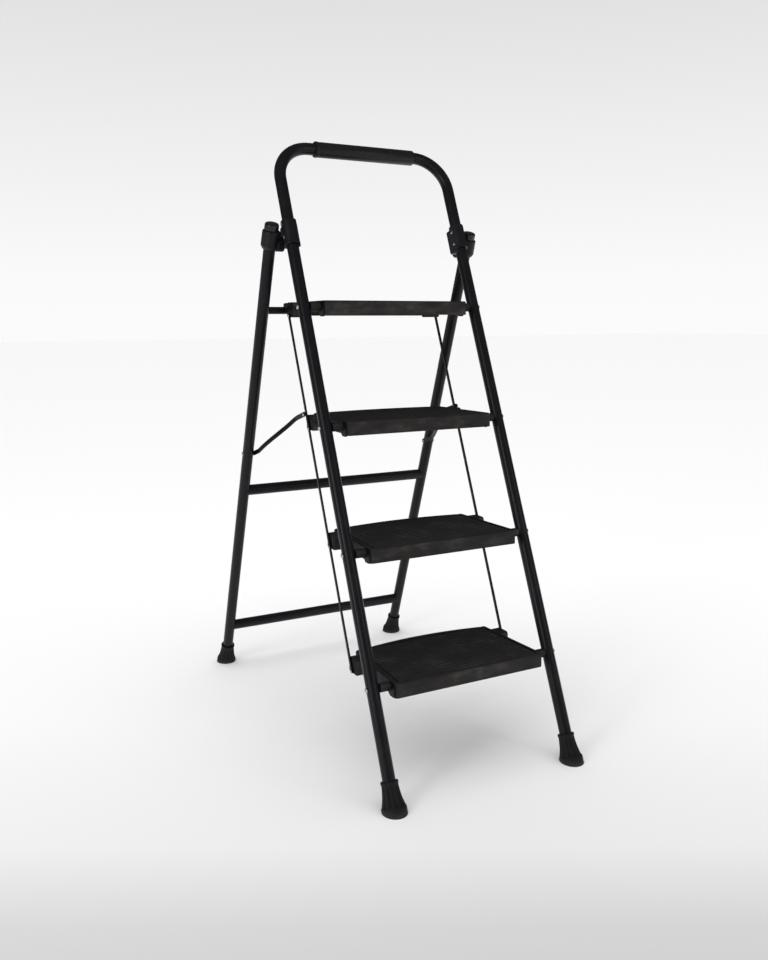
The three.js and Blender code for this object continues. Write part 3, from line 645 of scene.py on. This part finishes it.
# ---- feet ----
def foot(name, origin, axis, body):
    """A flared rubber cup with flutes and a plain rim at the floor."""
    inside = 13.6
    # Millimetres: radius, distance along the leg, and how much of the flutes shows there.
    rows = [
        (0, 9, 0), (inside, 9, 0), (inside, 57.4, 0), (14.6, 58.8, 0), (17.0, 58.8, 0), (17.9, 57.8, 0),
        (18.0, 54.5, 0), (17.2, 53.0, 0), (16.9, 51.0, 0.25), (17.3, 46, 1), (18.0, 39, 1), (18.9, 32, 1),
        (20.1, 25, 1), (21.8, 18.5, 1), (23.2, 13.5, 0.9), (24.0, 11.4, 0.3), (24.4, 10.6, 0),
        (25.2, 9.4, 0), (25.5, 7.6, 0), (25.5, -22, 0), (0, -22, 0),
    ]

    def ripple(angle, index):
        wave = 0.5 + 0.5 * math.cos(FOOT_FLUTES * angle)
        return 1 - FLUTE_DEPTH * rows[index][2] * wave ** 2

    profile = [(radius * MM, along * MM) for radius, along, _ in rows]
    cup = temporary(turned(profile, origin, axis, FOOT_FLUTES * 10, ripple))
    reach = Vector((0.1, 0.1, 0))
    below_floor = box_part(origin - reach - Vector((0, 0, 0.1)), origin + reach)
    combine(cup, [below_floor], "DIFFERENCE")
    cup.name = f"{name}_rubber"
    finish_piece(cup, rubber, body, [name], 32)


def rear_point(side, height):
    x = side * (rear_foot_point.x - REAR_SPLAY * height)
    return Vector((x, rear_foot_point.y - REAR_RUN * height, height))


def rear_axis(side):
    return Vector((-side * REAR_SPLAY, -REAR_RUN, 1)).normalized()


for side_name, side in SIDES:
    foot(f"front_foot_{side_name}", Vector((side * FRONT_X, front_foot_point.y, 0)), front_up, "front_frame")
    foot(f"rear_foot_{side_name}", rear_point(side, 0), rear_axis(side), "rear_frame")


# ---- rear frame ----
def rear_frame():
    for side_name, side in SIDES:
        start = rear_point(side, 0) + rear_axis(side) * LEG_END
        end = rear_point(side, REAR_TUBE_TOP)
        path = [start.lerp(end, i / 12) for i in range(13)]
        make_piece(f"rear_tube_{side_name}", swept_tube(path, TUBE_RADIUS), steel_paint,
                   "rear_frame", [f"rear_leg_{side_name}"])
    for node in ("rear_cross_bar_middle", "rear_cross_bar_low", "step_rest_bar"):
        low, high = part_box(node)
        centre = (low + high) / 2
        radius = (high.z - low.z) / 2
        # The rest bar lies on the legs. The ends of the cross bars are sunk into them.
        reach = high.x if node == "step_rest_bar" else rear_point(1, centre.z).x - 2 * MM
        path = [Vector((reach * t, centre.y, centre.z)) for t in (-1, -0.5, 0, 0.5, 1)]
        bar = swept_tube(path, radius, 40)
        make_piece(f"{node}_tube", bar, steel_paint, "rear_frame", [node])


rear_frame()


# ---- treads ----
def tread_outline(tread, margin=0.0, rear_margin=None):
    """Points round the tread, or round an area inside its edge, counter-clockwise from above."""
    front_corner = max(STEP_FRONT_CORNER - margin, 3 * MM)
    rear_corner = max(STEP_REAR_CORNER - margin, 3 * MM)
    half_front = STEP_HALF_FRONT - margin
    half_rear = tread["half_rear"] - margin
    front = STEP_FRONT + margin
    rear = tread["rear"] - (margin if rear_margin is None else rear_margin)
    points = []

    def curve(a, b, c, steps):
        points.extend(curve_points(a, b, c, steps)[1:])

    def line(a, b, steps):
        for i in range(1, steps + 1):
            points.append(a.lerp(b, i / steps))

    front_left = Vector((-half_front + front_corner, front))
    front_right = Vector((half_front - front_corner, front))
    right_front = Vector((half_front, front + front_corner))
    right_rear = Vector((half_rear, rear - rear_corner))
    rear_right = Vector((half_rear - rear_corner, rear + 1 * MM))
    left_rear = Vector((-right_rear.x, right_rear.y))
    left_front = Vector((-right_front.x, right_front.y))
    rear_left = Vector((-rear_right.x, rear_right.y))
    line(front_left, front_right, 24)
    curve(front_right, Vector((half_front, front)), right_front, 8)
    line(right_front, right_rear, 12)
    curve(right_rear, Vector((half_rear, rear)), rear_right, 8)
    curve(rear_right, Vector((0, rear + 2 * STEP_REAR_BOW)), rear_left, 32)
    curve(rear_left, Vector((-half_rear, rear)), left_rear, 8)
    line(left_rear, left_front, 12)
    curve(left_front, Vector((-half_front, front)), front_left, 8)
    return points


def edge_radius(inward):
    """The top rim is rounder at the front and the back than at the sides."""
    strongest = REAR_EDGE if inward.y < 0 else FRONT_EDGE
    return SIDE_EDGE + (strongest - SIDE_EDGE) * inward.y ** 2


def tread_shell(tread):
    """The outer skin, the flat top, and the hollow underside, as one closed surface."""
    points = tread_outline(tread)
    normals = inward_normals(points)
    rows = []

    def row(inset, height):
        rows.append([Vector((*(p + n * inset), height)) for p, n in zip(points, normals)])

    def rim_row(angle, further=0.0):
        ring = []
        for p, n in zip(points, normals):
            r = edge_radius(n)
            inset = r * (1 - math.cos(angle)) + further
            ring.append(Vector((*(p + n * inset), STEP_TOP - r * (1 - math.sin(angle)))))
        rows.append(ring)

    hollow = tread_outline(tread, STEP_WALL, STEP_WALL + 3 * MM)
    rows.append([Vector((*p, STEP_TOP - 4 * MM)) for p in hollow])
    row(STEP_WALL, STEP_BOTTOM + 0.8 * MM)
    row(STEP_WALL - 0.5 * MM, STEP_BOTTOM)
    row(1.0 * MM, STEP_BOTTOM)
    row(0.3 * MM, STEP_BOTTOM + 0.3 * MM)
    row(0, STEP_BOTTOM + 1.0 * MM)
    rim_steps = 8
    for k in range(rim_steps + 1):
        rim_row(math.pi / 2 * k / rim_steps)
    rim_row(math.pi / 2, 1 * MM)
    verts = [v for ring in rows for v in ring]
    return verts, closed_skin(len(rows), len(points))


def anti_slip_ribs(tread):
    """Low rounded ribs across the tread, set in a shallow field inside a plain border."""
    parts = []
    rear = tread["rear"]
    front = STEP_FRONT + RIB_BORDER
    back = rear + STEP_REAR_BOW - RIB_REAR_BORDER
    taper = (tread["half_rear"] - STEP_HALF_FRONT) / (rear - STEP_FRONT)
    count = int((back - front) / RIB_PITCH)
    for i in range(count):
        y = front + RIB_PITCH * (i + 0.5)
        half = STEP_HALF_FRONT + taper * (y - STEP_FRONT) - RIB_BORDER
        past = (y - (rear - RIB_REAR_BORDER)) / STEP_REAR_BOW
        if past > 0:
            half *= math.sqrt(max(0.0, 1 - past))
        if half > 20 * MM:
            parts.append(rib(half, y))
    return merge(parts)


def rib(half_length, y):
    """One rib across the tread, sloping down at both ends."""
    base = STEP_TOP - PAD_SINK - 0.3 * MM
    height = RIB_HEIGHT + 0.25 * MM
    slope = 1 * MM
    half_section = [(1, 0), (0.7, 0.85), (0.5, 1)]
    section = [(-RIB_HALF * w, h) for w, h in half_section]
    section += [(RIB_HALF * w, h) for w, h in reversed(half_section)]
    verts = []
    for x, rise in ((-half_length, 0), (slope - half_length, 1), (half_length - slope, 1), (half_length, 0)):
        for dy, h in section:
            verts.append(Vector((x, y + dy, base + height * h * rise)))
    return verts, closed_skin(4, len(section))


def ribbed_field(tread):
    """The sunk area of the tread that holds the ribs, as a cutter."""
    points = tread_outline(tread, RIB_BORDER - 2.5 * MM, RIB_REAR_BORDER - 2.5 * MM)
    low = [Vector((*p, STEP_TOP - PAD_SINK)) for p in points]
    high = [Vector((*p, STEP_TOP + 5 * MM)) for p in points]
    return low + high, closed_skin(2, len(points))


def side_parts():
    """The pivot boss, the heel of the side wall beside it, and the lug for the side bar."""
    boss_end = FRONT_X - TUBE_RADIUS - 0.3 * MM
    boss_profile = rounded_profile([
        (0, BOSS_INNER), (BOSS_RADIUS, BOSS_INNER), (BOSS_RADIUS, boss_end), (0, boss_end)], 1.2 * MM)
    boss = turned(boss_profile, Vector((0, 0, 0)), X_AXIS, 48)
    heel_to = ARCH_FROM - 0.4 * MM
    heel_outer = STEP_HALF_FRONT - 2 * MM
    heel = across(rounded_outline([
        (HEEL_FROM, WALL_LOW, 3 * MM), (heel_to, WALL_LOW, 3 * MM),
        (heel_to, HEEL_TOP, 0), (HEEL_FROM, HEEL_TOP, 0),
    ]), heel_outer - STEP_WALL, heel_outer)
    low = WALL_LOW - 0.5 * MM
    lug = across(rounded_outline([
        (ARCH_TO, low, 5 * MM), (LUG_TO, low, 5 * MM), (LUG_TO, LUG_TOP, 8 * MM), (ARCH_TO, LUG_TOP, 8 * MM),
    ]), LUG_INNER, LUG_OUTER, 1 * MM)
    return [boss, heel, lug]


def lug_grooves():
    """Upright grooves in the outer face of the lug."""
    half = 1 * MM
    inner = LUG_OUTER - 1 * MM
    outer = LUG_OUTER + 1.8 * MM
    low = WALL_LOW - 2 * MM
    high = LUG_TOP + 1 * MM
    return [box_part((inner, y - half, low), (outer, y + half, high)) for y in LUG_GROOVES]


def side_arch():
    """Cuts the raised stretch of the side wall."""
    low = -40 * MM
    corner = 2.5 * MM
    return across(rounded_outline([
        (ARCH_FROM, low, 0), (ARCH_TO, low, 0), (ARCH_TO, ARCH_TOP, corner), (ARCH_FROM, ARCH_TOP, corner),
    ]), 160 * MM, 200 * MM)


def stiffeners(wall_half, end):
    """The grid of thin ribs under the tread."""
    half = STIFFENER_HALF
    front = STEP_FRONT + 2 * MM
    low = STIFFENER_LOW
    high = STEP_TOP - 3 * MM
    parts = [box_part((x - half, front, low), (x + half, end, high)) for x in STIFFENERS_ALONG]
    parts += [box_part((-wall_half, y - half, low), (wall_half, y + half, high)) for y in STIFFENERS_ACROSS]
    return parts


def with_mirrored(parts):
    return parts + [mirror_x(part) for part in parts]


def build_tread(index):
    is_top = index == STEP_COUNT
    tread = TOP_TREAD if is_top else LOWER_TREAD
    wall_half = tread["half_rear"] - 1 * MM
    shell = temporary(tread_shell(tread))
    if is_top:
        below_overhang = box_part((-0.3, OVERHANG_FROM, -0.1), (0.3, 0.4, OVERHANG_BOTTOM))
        combine(shell, [below_overhang], "DIFFERENCE")
        rear_wall = box_part((-wall_half, OVERHANG_FROM - STEP_WALL, STEP_BOTTOM + 0.4 * MM),
                             (wall_half, OVERHANG_FROM - 0.1 * MM, STEP_TOP - 3 * MM))
        combine(shell, [rear_wall], "UNION")
    combine(shell, [ribbed_field(tread)], "DIFFERENCE")
    combine(shell, with_mirrored([side_arch()]), "DIFFERENCE")
    stiffener_end = (OVERHANG_FROM if is_top else tread["rear"]) - 6 * MM
    combine(shell, stiffeners(wall_half, stiffener_end) + with_mirrored(side_parts()), "UNION")
    combine(shell, with_mirrored(lug_grooves()), "DIFFERENCE")
    combine(shell, [anti_slip_ribs(tread)], "UNION")
    shell.data.transform(Matrix.Translation(step_pivots[index - 1]))
    shell.name = f"tread_{index}_moulding"
    finish_piece(shell, tread_plastic, f"tread_{index}", [f"step_{index}"], 30)


for index in range(1, STEP_COUNT + 1):
    build_tread(index)


# ---- bolts, pins and rivets ----
def domed_pin(x0, x1, shank, head, height):
    """A pin along X: the shank from x0 to x1, then a domed head with a small straight rim."""
    rim = 0.3 * MM
    profile = [(0, x0), (shank - 0.4 * MM, x0), (shank, x0 + 0.4 * MM), (shank, x1)]
    profile += [(head - 0.25 * MM, x1), (head, x1 + rim)]
    steps = 7
    for i in range(1, steps):
        angle = math.pi / 2 * i / steps
        profile.append((head * math.cos(angle), x1 + rim + (height - rim) * math.sin(angle)))
    profile.append((0, x1 + height))
    return turned(profile, Vector((0, 0, 0)), X_AXIS, 32)


def place_pin(name, part, side, origin, body, node):
    verts, faces = sided(part, side)
    verts = [v + Vector((0, origin.y, origin.z)) for v in verts]
    make_piece(name, (verts, faces), zinc, body, [node], 50)


pivot_bolt = domed_pin(0.166, FRONT_X + TUBE_RADIUS + 0.2 * MM, 3.4 * MM, 5.4 * MM, 3.2 * MM)
bar_pin = domed_pin(0.180, BAR_OUTER + 0.15 * MM, 2.0 * MM, 3.8 * MM, 2.2 * MM)
for index, pivot in enumerate(step_pivots, start=1):
    for side_name, side in SIDES:
        place_pin(f"pivot_bolt_{index}_{side_name}", pivot_bolt, side, pivot, "front_frame",
                  f"step_{index}_pivot_bolt_{side_name}")
        place_pin(f"bar_pin_{index}_{side_name}", bar_pin, side, pivot + pin_offset, f"tread_{index}",
                  f"step_{index}_bar_pin_{side_name}")

leg_rivet_x = rear_point(1, link_low_point.z).x + TUBE_RADIUS
leg_rivet = domed_pin(LINK_OUTER - 0.5 * MM, leg_rivet_x + 0.2 * MM, 3 * MM, 5 * MM, 2.6 * MM)
bar_rivet = domed_pin(LINK_INNER, LINK_INNER + STRIP + 0.15 * MM, 3 * MM, 4.6 * MM, 2.1 * MM)
for side_name, side in SIDES:
    place_pin(f"link_leg_rivet_{side_name}", leg_rivet, side, link_low_point, "rear_frame",
              f"lift_link_leg_rivet_{side_name}")
    place_pin(f"link_bar_rivet_{side_name}", bar_rivet, side, link_high_point, "lift_links",
              f"lift_link_bar_rivet_{side_name}")


# ---- side bars and lift links ----
def side_bars():
    """Flat strips with round ends, pinned to the lugs of all the treads."""
    low = step_pivots[0] + pin_offset
    high = step_pivots[-1] + pin_offset
    beside = Vector((high.z - low.z, low.y - high.y)).normalized() * BAR_HALF_WIDTH
    end_steps = 10
    outline = []
    for pin, start in ((high, beside), (low, -beside)):
        for k in range(end_steps + 1):
            outline.append(Vector((pin.y, pin.z)) + Matrix.Rotation(math.pi * k / end_steps, 2) @ start)
    part = across(outline, BAR_INNER, BAR_OUTER, 0.5 * MM)
    for side_name, side in SIDES:
        make_piece(f"side_strip_{side_name}", sided(part, side), dark_strip, "side_bars",
                   [f"side_bar_{side_name}"])


side_bars()


def link_centres(low, high):
    """The centre line in the Y-Z plane: three straight runs joined by two short bends."""
    slope = Vector((-math.cos(LINK_END_SLOPE), math.sin(LINK_END_SLOPE)))
    corners = [low, low + slope * LINK_LOW_END, high - slope * LINK_HIGH_END, high]
    bends = []
    for before, corner, after in zip(corners, corners[1:], corners[2:]):
        start = corner + (before - corner).normalized() * LINK_BEND
        end = corner + (after - corner).normalized() * LINK_BEND
        bends.append(curve_points(start, corner, end, 6))
    first, second = bends

    def between(a, b, count):
        return [a.lerp(b, k / count) for k in range(1, count)]

    return ([low] + between(low, first[0], 4) + first + between(first[-1], second[0], 8)
            + second + between(second[-1], high, 4) + [high])


def ribbon(centres, half_width, thickness, inner_face):
    """A strip with rounded rims that follows its centre line in the Y-Z plane and inner_face across."""
    rim = 0.5 * MM
    section = [
        (-half_width, rim), (-half_width + rim, 0), (half_width - rim, 0), (half_width, rim),
        (half_width, thickness - rim), (half_width - rim, thickness), (-half_width + rim, thickness),
        (-half_width, thickness - rim),
    ]
    first = (centres[1] - centres[0]).normalized()
    last = (centres[-1] - centres[-2]).normalized()
    stations = []                # place, direction and share of the full width

    def round_end(centre, direction, way, angle):
        place = centre + direction * way * half_width * math.sin(angle)
        stations.append((place, direction, max(math.cos(angle), 0.02)))

    end_steps = 6
    for k in range(end_steps, 0, -1):
        round_end(centres[0], first, -1, math.pi / 2 * k / end_steps)
    for i, centre in enumerate(centres):
        before = centres[max(i - 1, 0)]
        after = centres[min(i + 1, len(centres) - 1)]
        stations.append((centre, (after - before).normalized(), 1))
    for k in range(1, end_steps + 1):
        round_end(centres[-1], last, 1, math.pi / 2 * k / end_steps)
    verts = []
    for centre, along, width in stations:
        beside = Vector((along.y, -along.x))
        inner = inner_face(centre)
        for offset, height in section:
            point = centre + beside * offset * width
            verts.append(Vector((inner + height, point.x, point.y)))
    return verts, closed_skin(len(stations), len(section))


def lift_links():
    """Flat strips, kinked in side view, that lean inwards between their ends."""
    low = Vector((link_low_point.y, link_low_point.z))
    high = Vector((link_high_point.y, link_high_point.z))
    length = (high - low).length
    direction = (high - low).normalized()

    def inner_face(point):
        along = (point - low).dot(direction)
        t = min(1, max(0, (along - LINK_JOG_FROM) / (length - 2 * LINK_JOG_FROM)))
        eased = t * t * (3 - 2 * t) * 0.35 + t * 0.65
        return LINK_OUTER - (LINK_OUTER - LINK_INNER) * eased

    part = ribbon(link_centres(low, high), LINK_HALF_WIDTH, STRIP, inner_face)
    for side_name, side in SIDES:
        make_piece(f"lift_strip_{side_name}", sided(part, side), dark_strip, "lift_links",
                   [f"lift_link_{side_name}"])


lift_links()


# ---- hinges ----
def leg_plate(outline, low, high, bevel, drop=0):
    """A plate in the leg's own frame; drop lowers its upper corners."""
    middle = 1230
    lowered = [(a, b - drop if b > middle else b, r) for a, b, r in outline]
    points = rounded_outline([(a * MM, b * MM, r * MM) for a, b, r in lowered])
    return plate(points, low, high, bevel, lambda a, b, x: front_point(x, a, b))


def bracket_rivet(side, place):
    """A rivet right through bracket and leg, with a domed head at either end."""
    outer_end = FRONT_X + SLEEVE_RADIUS + 0.1 * MM
    inner_end = BRACKET_INNER - 0.1 * MM
    middle = (outer_end + inner_end) / 2
    outer = domed_pin(middle - 1 * MM, outer_end, 2 * MM, 4 * MM, 1.8 * MM)
    inner = mirror_x(domed_pin(-middle - 1 * MM, -inner_end, 1.9 * MM, 4 * MM, 1.8 * MM))
    rivet = temporary(sided(outer, side))
    combine(rivet, [sided(inner, side)], "UNION")
    rivet.data.transform(Matrix.Translation((0, place.y, place.z)))
    return rivet


def hinge_bracket(side, drop):
    """The sleeve round the front leg, its flat inner plate, and the lobe behind the leg."""
    length = SLEEVE_TO - SLEEVE_FROM
    r = SLEEVE_RADIUS
    lip = r + 0.8 * MM
    profile = rounded_profile([
        (0, 0), (r + 0.2 * MM, 0), (lip, 0.8 * MM), (lip, 3.4 * MM), (r - 0.2 * MM, 4.6 * MM),
        (r, 8 * MM), (r, length - 3.5 * MM), (r - 3.3 * MM, length), (0, length)], 0.7 * MM)
    inwards = ((-60, 1100, 0), (60, 1100, 0), (60, 1350, 0), (-60, 1350, 0))
    flat = leg_plate(inwards, 150 * MM, BRACKET_INNER, 0.01 * MM)
    block = leg_plate(BRACKET_OUTLINE, BRACKET_INNER, LOBE_OUTER, 0.8 * MM, drop)
    lobe = leg_plate(LOBE_OUTLINE, LOBE_INNER, LOBE_OUTER, 0.9 * MM, drop)
    x = side * FRONT_X
    bracket = temporary(turned(profile, front_point(x, 0, SLEEVE_FROM - drop * MM), front_up, 72))
    combine(bracket, [sided(flat, side)], "DIFFERENCE")
    combine(bracket, [sided(block, side), sided(lobe, side)], "UNION")
    soften(bracket, MELT_VOXEL, 3)
    leg = [front_point(x, 0, SLEEVE_FROM - 50 * MM), front_point(x, 0, SLEEVE_TO + 50 * MM)]
    return combine(bracket, [swept_tube(leg, TUBE_RADIUS + LEG_GAP, 64)], "DIFFERENCE")


def front_hinges():
    pin = mirror_x(domed_pin(4 * MM - CHEEK_OUTER, -LOBE_INNER + 0.1 * MM, 4 * MM, 6.8 * MM, 3.2 * MM))
    for side_name, side in SIDES:
        bracket = hinge_bracket(side, LEFT_BRACKET_DROP if side < 0 else 0)
        bracket.name = f"hinge_bracket_{side_name}"
        finish_piece(bracket, hinge_plastic, "front_frame",
                     [f"hinge_sleeve_{side_name}"], 45)
        place_pin(f"hinge_bolt_{side_name}", pin, side, hinge_point, "front_frame", f"hinge_pin_{side_name}")
        for number, (behind, along) in enumerate(HINGE_RIVETS, start=1):
            rivet = bracket_rivet(side, front_point(0, behind, along))
            rivet.name = f"bracket_rivet_{side_name}_{number}"
            finish_piece(rivet, zinc, "front_frame", [f"hinge_rivet_{side_name}_{number}"], 50)


front_hinges()


def hinge_collar(side):
    """The collar round the rear leg, and the cheek, pad and web that carry the hinge pin."""
    top = (REAR_TUBE_TOP - hinge_point.z) / rear_axis(1).z
    r = COLLAR_RADIUS
    profile = rounded_profile([
        (0, COLLAR_BOTTOM), (r - 4 * MM, COLLAR_BOTTOM), (r, COLLAR_BOTTOM + 7 * MM),
        (r - 0.8 * MM, top - 2 * MM), (r - 2.5 * MM, top), (0, top)], 0.8 * MM)
    cheek_inner = LOBE_OUTER + 2.5 * MM
    r = CHEEK_RADIUS
    cheek_profile = rounded_profile([
        (0, cheek_inner), (r, cheek_inner), (r, CHEEK_OUTER), (0, CHEEK_OUTER)], 1.4 * MM)
    pad_inner = LOBE_OUTER + 0.3 * MM
    pad_radius = 8.8 * MM
    pad_profile = [(0, pad_inner), (pad_radius, pad_inner), (pad_radius, 230 * MM), (0, 230 * MM)]
    at_hinge = Vector((0, hinge_point.y, hinge_point.z))
    lean = Matrix.Rotation(math.atan(REAR_RUN), 4, "X")
    web_verts, web_faces = box_part((234 * MM, -13 * MM, 0), (245 * MM, 13 * MM, top - 0.4 * MM))
    web = ([lean @ v + at_hinge for v in web_verts], web_faces)
    cheek = turned(cheek_profile, at_hinge, X_AXIS, 64)
    pad = turned(pad_profile, at_hinge, X_AXIS, 48)
    collar = temporary(turned(profile, rear_point(side, hinge_point.z), rear_axis(side), 72))
    combine(collar, [sided(cheek, side), sided(web, side)], "UNION")
    soften(collar, MELT_VOXEL, 4)
    combine(collar, [sided(pad, side)], "UNION")
    leg = [rear_point(side, hinge_point.z - 50 * MM), rear_point(side, hinge_point.z + 50 * MM)]
    pin = [at_hinge + X_AXIS * side * 0.2, at_hinge + X_AXIS * side * (CHEEK_OUTER + 0.5 * MM)]
    cuts = [swept_tube(leg, TUBE_RADIUS + LEG_GAP, 64), swept_tube(pin, 4.1 * MM, 32)]
    return combine(collar, cuts, "DIFFERENCE")


def rear_hinges():
    cap_profile = rounded_profile([
        (0, -10 * MM), (11 * MM, -10 * MM), (11 * MM, 0.2 * MM), (15.3 * MM, 0.2 * MM), (15.8 * MM, 1.4 * MM),
        (15.7 * MM, 12.6 * MM), (13.8 * MM, 15.6 * MM), (9 * MM, 17.2 * MM), (0, 17.6 * MM)], 0.8 * MM)
    for side_name, side in SIDES:
        collar = hinge_collar(side)
        collar.name = f"collar_{side_name}"
        finish_piece(collar, hinge_plastic, "rear_frame", [f"hinge_collar_{side_name}"], 45)
        cap = turned(cap_profile, rear_point(side, REAR_TUBE_TOP), rear_axis(side), 64)
        make_piece(f"leg_cap_{side_name}", cap, cap_plastic, "rear_frame",
                   [f"rear_leg_cap_{side_name}"], 40)


rear_hinges()


# ---- floor, lights and camera ----
def floor_material():
    """A pale floor whose colour darkens slowly towards the viewer: painted shade."""
    material = bpy.data.materials.new("studio_floor")
    look = Shading(material)
    view = (math.sin(CAMERA_YAW), math.cos(CAMERA_YAW), 0)
    away = look.add("VectorMath", {0: look.place.outputs["Object"], 1: view}, operation="DOT_PRODUCT")
    # Painted shade: the floor's colour, not its lighting, falls off towards the camera.
    shares = [(0.0, 0.50), (0.15, 0.62), (0.24, 0.79), (0.45, 0.90), (0.7, 0.95), (1.0, 1.0)]
    shade = look.ramp(look.fraction(away.outputs["Value"], -1.2, 1.2), [
        (position, FLOOR_ALBEDO * share) for position, share in shares])
    look.fill(look.nodes["Principled BSDF"], {
        "Base Color": shade, "Roughness": 0.7, "Specular IOR Level": 0.1})
    return material


def studio_world():
    """Pale behind the object and greyer above it, softer as light, and dim in reflections,
    so that black paint stays black."""
    world = bpy.data.worlds.new("studio")
    bpy.context.scene.world = world
    look = Shading(world)
    rays = look.add("LightPath", {})

    def background(strength, colour=(0.995, 0.995, 1.0, 1)):
        return look.add("Background", {"Color": colour, "Strength": strength}).outputs[0]

    def choose(switch, off, on):
        return look.add("MixShader", {"Fac": rays.outputs[switch], 1: off, 2: on}).outputs[0]

    light = background(FLOOR_LIGHT * SKY_ON_FLOOR / FLOOR_ALBEDO)
    lit = choose("Is Glossy Ray", light, background(SKY_IN_GLOSS))
    height = look.split(look.place.outputs["Generated"])["Z"]
    shade = look.ramp(height, [
        (0.0, BACKDROP), (0.06, BACKDROP * 0.985), (0.2, BACKDROP * 0.88), (0.36, BACKDROP_HIGH)])
    seen = choose("Is Camera Ray", lit, background(1.0, shade))
    look.fill(look.nodes["World Output"], {"Surface": seen})


def area_light(name, location, target, width, height, power):
    light = bpy.data.lights.new(name, "AREA")
    light.shape = "RECTANGLE"
    light.size = width
    light.size_y = height
    light.energy = power
    lamp = add_object(name, light)
    lamp.location = location
    lamp.rotation_euler = (Vector(target) - Vector(location)).to_track_quat("-Z", "Y").to_euler()


def studio():
    half = FLOOR_HALF
    corners = [(-half, -half, 0), (half, -half, 0), (half, half, 0), (-half, half, 0)]
    floor = new_object("studio_floor", (corners, [(0, 1, 2, 3)]))
    floor.data.materials.append(floor_material())
    studio_world()

    sun = bpy.data.lights.new("ceiling", "SUN")
    sun.angle = math.radians(70)
    sun.energy = FLOOR_LIGHT * (1 - SKY_ON_FLOOR) / FLOOR_ALBEDO * math.pi
    lamp = add_object("ceiling", sun)
    lamp.rotation_euler = (math.radians(6), math.radians(-8), 0)
    lamp.visible_glossy = False
    area_light("key_left", (-3.0, -1.4, 1.5), (0, 0, 0.7), 0.4, 2.2, 26)
    area_light("front_right", (1.8, -3.4, 1.8), (0, 0, 0.5), 0.7, 1.6, 10)
    bpy.context.scene.view_settings.view_transform = "Standard"


studio()


def add_camera():
    data = bpy.data.cameras.new("photo_view")
    data.sensor_fit = "AUTO"
    data.sensor_width = SENSOR
    data.lens = SENSOR * FOCAL_LENGTH
    camera = add_object("photo_view", data)
    forward = Vector((
        math.sin(CAMERA_YAW) * math.cos(CAMERA_PITCH),
        math.cos(CAMERA_YAW) * math.cos(CAMERA_PITCH),
        -math.sin(CAMERA_PITCH)))
    level = Vector((math.cos(CAMERA_YAW), -math.sin(CAMERA_YAW), 0))
    down = forward.cross(level)
    right = level * math.cos(CAMERA_ROLL) + down * math.sin(CAMERA_ROLL)
    up = -(down * math.cos(CAMERA_ROLL) - level * math.sin(CAMERA_ROLL))
    basis = Matrix((right, up, -forward)).transposed().to_4x4()
    camera.matrix_world = Matrix.Translation(CAMERA_PLACE) @ basis
    bpy.context.scene.camera = camera


add_camera()
